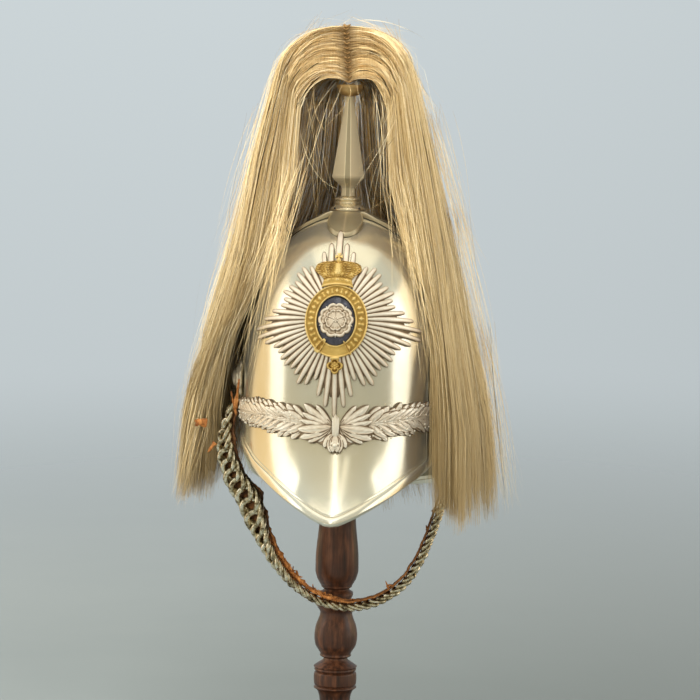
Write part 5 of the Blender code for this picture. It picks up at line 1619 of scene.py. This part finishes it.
def strands(side, count, low, high, bias):
    """Centre lines of many strands, as strands x points x 3, and their tone, along and inner values."""
    place, depth, tuft_place, tuft_depth = tufted(count, low, high, bias)
    lock, end_place, end_depth = gathered(place, depth, low, high)
    tip = tip_heights(end_place, depth, lock)
    shoulder_z = SHOULDER_INNER_Z + (SHOULDER_OUTER_Z - SHOULDER_INNER_Z) * depth
    shoulder_z = shoulder_z + RANDOM.normal(0, SHOULDER_VARIES, count)
    root_depth = np.clip(depth * 0.25 + tuft_depth * 0.75, 0, 1)
    root = root_point(place * 0.15 + tuft_place * 0.85, root_depth)
    top = over_shoulder(root, hang_point(place, depth, side, shoulder_z), depth)
    down = (np.arange(HANG_POINTS) / (HANG_POINTS - 1))[None]
    height = shoulder_z[:, None] + (tip - shoulder_z)[:, None] * down
    ease = down**1.3
    hang_place = place[:, None] + (end_place - place)[:, None] * ease
    hang_depth = depth[:, None] + (end_depth - depth)[:, None] * ease
    line = np.concatenate([top, hang_point(hang_place, hang_depth, side, height)], 1)
    along = np.linspace(0, 1, line.shape[1])[None]
    tone = 0.52 + 0.14 * RANDOM.normal(0, 1, count) + 0.05 * RANDOM.normal(0, 1, LOCKS)[lock]
    tone = np.where(RANDOM.uniform(0, 1, count) < DARK_SHARE, tone - 0.35, tone)
    line = line + wander(count, line.shape[1], lock)
    inner = np.clip(1 - depth * 2.2, 0, 1) * smoothstep((place - 0.15) / 0.4)
    return line, np.clip(tone, 0, 1), along, inner


def wander(count, points, lock):
    """Small sideways waves of each strand and of each lock, growing down their length."""
    at = np.linspace(0, 1, points)[None, :, None]
    moved = 0
    for amount, who, many in zip(WANDER, (np.arange(count), lock), (count, LOCKS)):
        for cycles in (1.0, 2.3, 4.1):
            phase = RANDOM.uniform(0, 2 * math.pi, (many, 1, 3))[who]
            size = RANDOM.normal(0, 1, (many, 1, 3))[who] * np.array((1, 1, 0.3))
            moved = moved + amount / cycles * size * np.sin(2 * math.pi * cycles * at + phase) * at**0.8
    return moved


def ribbons(name, line, tone, along, inner, width, finish, replaced=()):
    """Flat tapering wisps along the strands' centre lines, shaded as part of the plume's round body."""
    count, points = line.shape[:2]
    ahead = unit(np.gradient(line, axis=1))
    outward = line - np.array(PLUME_HEART)
    outward = unit(outward - ahead * (outward * ahead).sum(-1, keepdims=True))
    across = unit(np.cross(ahead, outward + RANDOM.normal(0, WISP_LIE, (count, 1, 3))))
    at = np.linspace(0, 1, points)[None, :, None]
    half = width / 2 * np.minimum(1, 0.5 + 5 * at) * np.maximum(0.04, 1 - at**2.4) ** 0.7
    half = half * RANDOM.uniform(0.5, 1.4, (count, 1, 1))
    both = np.stack([line - across * half, line + across * half], 2)
    number = np.arange(count * points * 2).reshape(count, points, 2)
    corners = [number[:, :-1, 0], number[:, :-1, 1], number[:, 1:, 1], number[:, 1:, 0]]
    quads = np.stack(corners, -1).reshape(-1, 4)
    mesh = mesh_from(name, both.reshape(-1, 3) + np.array((HELMET_X, 0, 0)), [quads])
    for key, values in (("tone", tone[:, None]), ("along", along), ("inner", inner[:, None])):
        add_values(mesh, key, np.repeat(np.broadcast_to(values, (count, points)), 2))
    stripe = RANDOM.uniform(0, 500, (count, 1, 1)) + np.array((0.0, width / HAIR_WIDTH))
    add_values(mesh, "stripe", np.broadcast_to(stripe, (count, points, 2)).ravel())
    mesh.shade_smooth()
    facing = np.cross(across, ahead)
    facing = facing * np.sign((facing * outward).sum(-1, keepdims=True))
    soft = unit(outward * (1 - OWN_SHARE) + facing * OWN_SHARE)
    mesh.normals_split_custom_set_from_vertices(np.repeat(soft.reshape(-1, 3), 2, 0))
    placed(name, mesh, finish, replaced)


def strays(finish):
    """Loose hairs that stand off the plume or fall across the spike and the skull."""
    lines, tones = [], []
    for side in (-1, 1):
        line, tone, along, _ = strands(side, STRAY_STRANDS, 0.0, 1.0, 0.4)
        count, points = line.shape[:2]
        at = np.linspace(0, 1, points)[None, :, None]
        push = RANDOM.normal(0, 1, (count, 1, 3)) * np.array((0.006, 0.008, 0.002))
        away = unit(line * np.array((1, 1, 0))) * np.abs(RANDOM.normal(0, 0.005, (count, 1, 1)))
        middle = RANDOM.uniform(0.2, 0.8, (count, 1, 1))
        lines.append(line + push * at**1.5 + away * bump_at(at, middle, 0.22))
        tones.append(np.clip(tone + 0.25, 0, 1))
        for start, end, loose, bow, many in STRAY_ARCS:
            ends = [np.array(place) + RANDOM.normal(0, loose, (many, 1, 3)) for place in (start, end)]
            bent = sum(ends) / 2 + RANDOM.normal(0, bow, (many, 1, 3)) * np.array((1, 0.5, 1))
            arc = ends[0] * (1 - at) ** 2 + bent * 2 * at * (1 - at) + ends[1] * at**2
            lines.append(arc * np.array((side, 1, 1)))
            tones.append(RANDOM.uniform(0.25, 0.85, many))
    line, tone = np.concatenate(lines), np.concatenate(tones)
    line[..., 0] = np.clip(line[..., 0], -STRAY_LIMIT, STRAY_LIMIT)
    line[..., 1] = np.minimum(line[..., 1], REAR_LIMIT)
    ribbons("plume_strays", line, tone, along * 0.4, 0 * tone, HAIR_WIDTH, finish)


def plume(finish):
    """Outer and inner hair of each side, and loose hairs."""
    for side, name in SIDES:
        line, tone, along, inner = strands(side, STRANDS_OUTER, 0.35, 1.0, 0.55)
        ribbons(f"plume_outer_{name}", line, tone, along, inner * 0, WISP_WIDTH, finish, ["plume"])
        line, tone, along, inner = strands(side, STRANDS_INNER, 0.0, 0.45, 1.0)
        ribbons(f"plume_inner_{name}", line, tone, along, inner, WISP_WIDTH, finish, ["plume"])
    strays(finish)


def stitching(finish):
    """Fine slanted stitches of hair-coloured thread, up the parting's front end and along its top."""
    shape = Shape()
    for k in range(STITCHES):
        t = (k // 2) / (STITCHES // 2 - 1)
        place, depth = max(0.0, t - PARTING_FRONT) / (1 - PARTING_FRONT), min(1.0, t / PARTING_FRONT)
        side = 1 if k % 2 else -1
        off = (side * 0.0013, -0.0010 if place < 0.1 else 0.0, 0.0009 if place > 0 else 0.0)
        axes = ((0.0016, 0, side * 0.0009), (0, 0.0007, 0), (-0.0003 * side, 0, 0.0005))
        shape.ball(root_point(np.array(place), np.array(depth)) + np.array(off), 0, axes, 6, 8)
    shape.made("parting_stitches", finish, "horsehair")


# Stand, floor, light and camera


def stand(finish):
    """Foot, turned pole with fine beads and grooves, and the block that the helmet rests on."""
    turned("wood_foot", BASE_ROWS, finish, WOOD, ["stand_base"], 120, on_helmet=False)
    turned("wood_block", HEAD_ROWS, finish, WOOD, ["stand_head"], 96, on_helmet=False)
    z = np.linspace(POLE_ROWS[0][1], POLE_ROWS[-1][1], 50)
    z = np.sort(np.concatenate([z, np.linspace(*POLE_FINE, 180)]))
    radius = read([(height, r) for r, height in POLE_ROWS], z)[0]
    for height, amount, half in POLE_BEADS:
        radius = radius + amount * bump_at(z, height, half)
    turned("wood_pole", np.stack([radius, z], 1), finish, WOOD, ["stand_pole"], 48, 0, on_helmet=False)


def floor():
    """Grey ground, painted darker to the right as shade and paler far away as painted light, that fades out.
    """
    made = Finish("floor", (0.30, 0.33, 0.335), 0.85)
    near = made.ramp(made.noise(3.0, 3.0), ((0.3, 0.195, 0.220, 0.218), (0.7, 0.215, 0.240, 0.236)))
    shade_to_right = made.spread(made.split(made.place)["X"], -0.25, 0.45)
    near = made.mix(shade_to_right, near, (0.115, 0.130, 0.125))
    made.colour(made.mix(made.spread(made.length(made.place), 0.4, 3.2), near, (0.46, 0.50, 0.51)))
    fade = made.spread(made.length(made.stretched(FLOOR_NARROWED)), 0.3, 3.8, 1.0, 0.0)
    fade.node.interpolation_type = "SMOOTHSTEP"
    made.shade(Alpha=fade)
    mesh = bpy.data.meshes.new("floor")
    work = bmesh.new()
    bmesh.ops.create_circle(work, cap_ends=True, radius=FLOOR_RADIUS, segments=96)
    work.to_mesh(mesh)
    work.free()
    mesh.materials.append(made.material)
    obj = bpy.data.objects.new("floor", mesh)
    bpy.context.scene.collection.objects.link(obj)


def world():
    """Pale background, with other colours for what metal mirrors low down."""
    made = bpy.data.worlds.new("studio")
    bpy.context.scene.world = made
    made.use_nodes = True
    nodes = Nodes(made.node_tree, "Generated")
    direction = nodes.split(nodes.place)
    away = nodes.spread(direction["Y"], -1.0, 1.0)
    seen, mirrored = (nodes.ramp(away, stops) for stops in (WORLD_STOPS, MIRRORED_STOPS))
    glossy = nodes.add("ShaderNodeLightPath").outputs["Is Glossy Ray"]
    low_and_glossy = nodes.sums("MULTIPLY", glossy, nodes.spread(direction["Z"], *MIRRORED_LOW))
    falls = [nodes.spread(direction[axis], *limits) for axis, *limits in WORLD_FALLS]
    back = made.node_tree.nodes["Background"]
    nodes.feed(back.inputs["Color"], nodes.mix(low_and_glossy, seen, mirrored))
    nodes.feed(back.inputs["Strength"], nodes.sums("MULTIPLY", *falls))


def softbox(name, place, size, power, colour, mirrored):
    """A rectangle of light turned to the helmet, never seen itself."""
    data = bpy.data.lights.new(name, "AREA")
    data.shape = "RECTANGLE"
    data.size, data.size_y = size
    data.energy = power
    data.color = colour
    obj = bpy.data.objects.new(name, data)
    obj.location = place
    obj.rotation_euler = (Vector(LIGHTS_AIM) - Vector(place)).to_track_quat("-Z", "Y").to_euler()
    obj.visible_camera = False
    obj.visible_glossy = mirrored
    bpy.context.scene.collection.objects.link(obj)


def camera():
    data = bpy.data.cameras.new("camera")
    data.lens = CAMERA_LENS
    data.sensor_width = CAMERA_SENSOR
    obj = bpy.data.objects.new("camera", data)
    turn = math.radians(CAMERA_TURN_DEG)
    place = Vector((CAMERA_AWAY * math.sin(turn) + HELMET_X, -CAMERA_AWAY * math.cos(turn), CAMERA_Z))
    yaw = Matrix.Rotation(math.radians(CAMERA_TURN_DEG + CAMERA_YAW_DEG), 4, "Z")
    pitch = Matrix.Rotation(math.radians(90 - CAMERA_PITCH_DEG), 4, "X")
    roll = Matrix.Rotation(math.radians(CAMERA_ROLL_DEG), 4, "Z")
    obj.matrix_world = Matrix.Translation(place) @ yaw @ pitch @ roll
    bpy.context.scene.collection.objects.link(obj)
    bpy.context.scene.camera = obj


def main():
    camera()
    bpy.context.scene.view_settings.view_transform = "Standard"
    world()
    for light in LIGHTS:
        softbox(*light)
    floor()
    silver, worn, gilt = polished_silver(), worn_silver(), gilt_brass()
    skull(silver)
    peak_binding(silver)
    star(worn)
    belt(gilt)
    enamel(dark_enamel())
    rose(worn)
    drop(gilt)
    crown(gilt)
    wreath(worn)
    yellowed = polished_silver("yellowed_silver", softer=0.04, warmth=0.22)
    crosspiece(yellowed)
    vents(vent_painted_shade())
    turned("collar", COLLAR_ROWS, yellowed, SILVER, ["spike_collar"])
    spike(polished_silver("soft_silver", softer=0.16, metallic=0.60, warmth=0.26))
    turned("hair_cup", CUP_ROWS, gilt_brass("dull_bronze", tint=(0.52, 0.44, 0.42)), GILT, ["plume_cup"])
    rosette = gilt_brass("pale_brass", tint=(0.9, 0.9, 0.9), paled=0.5)
    for side, name in SIDES:
        boss(side, name, rosette)
    chain(chain_steel())
    leather(torn_leather())
    plume(horsehair())
    stitching(stitching_thread())
    stand(waxed_wood())


main()
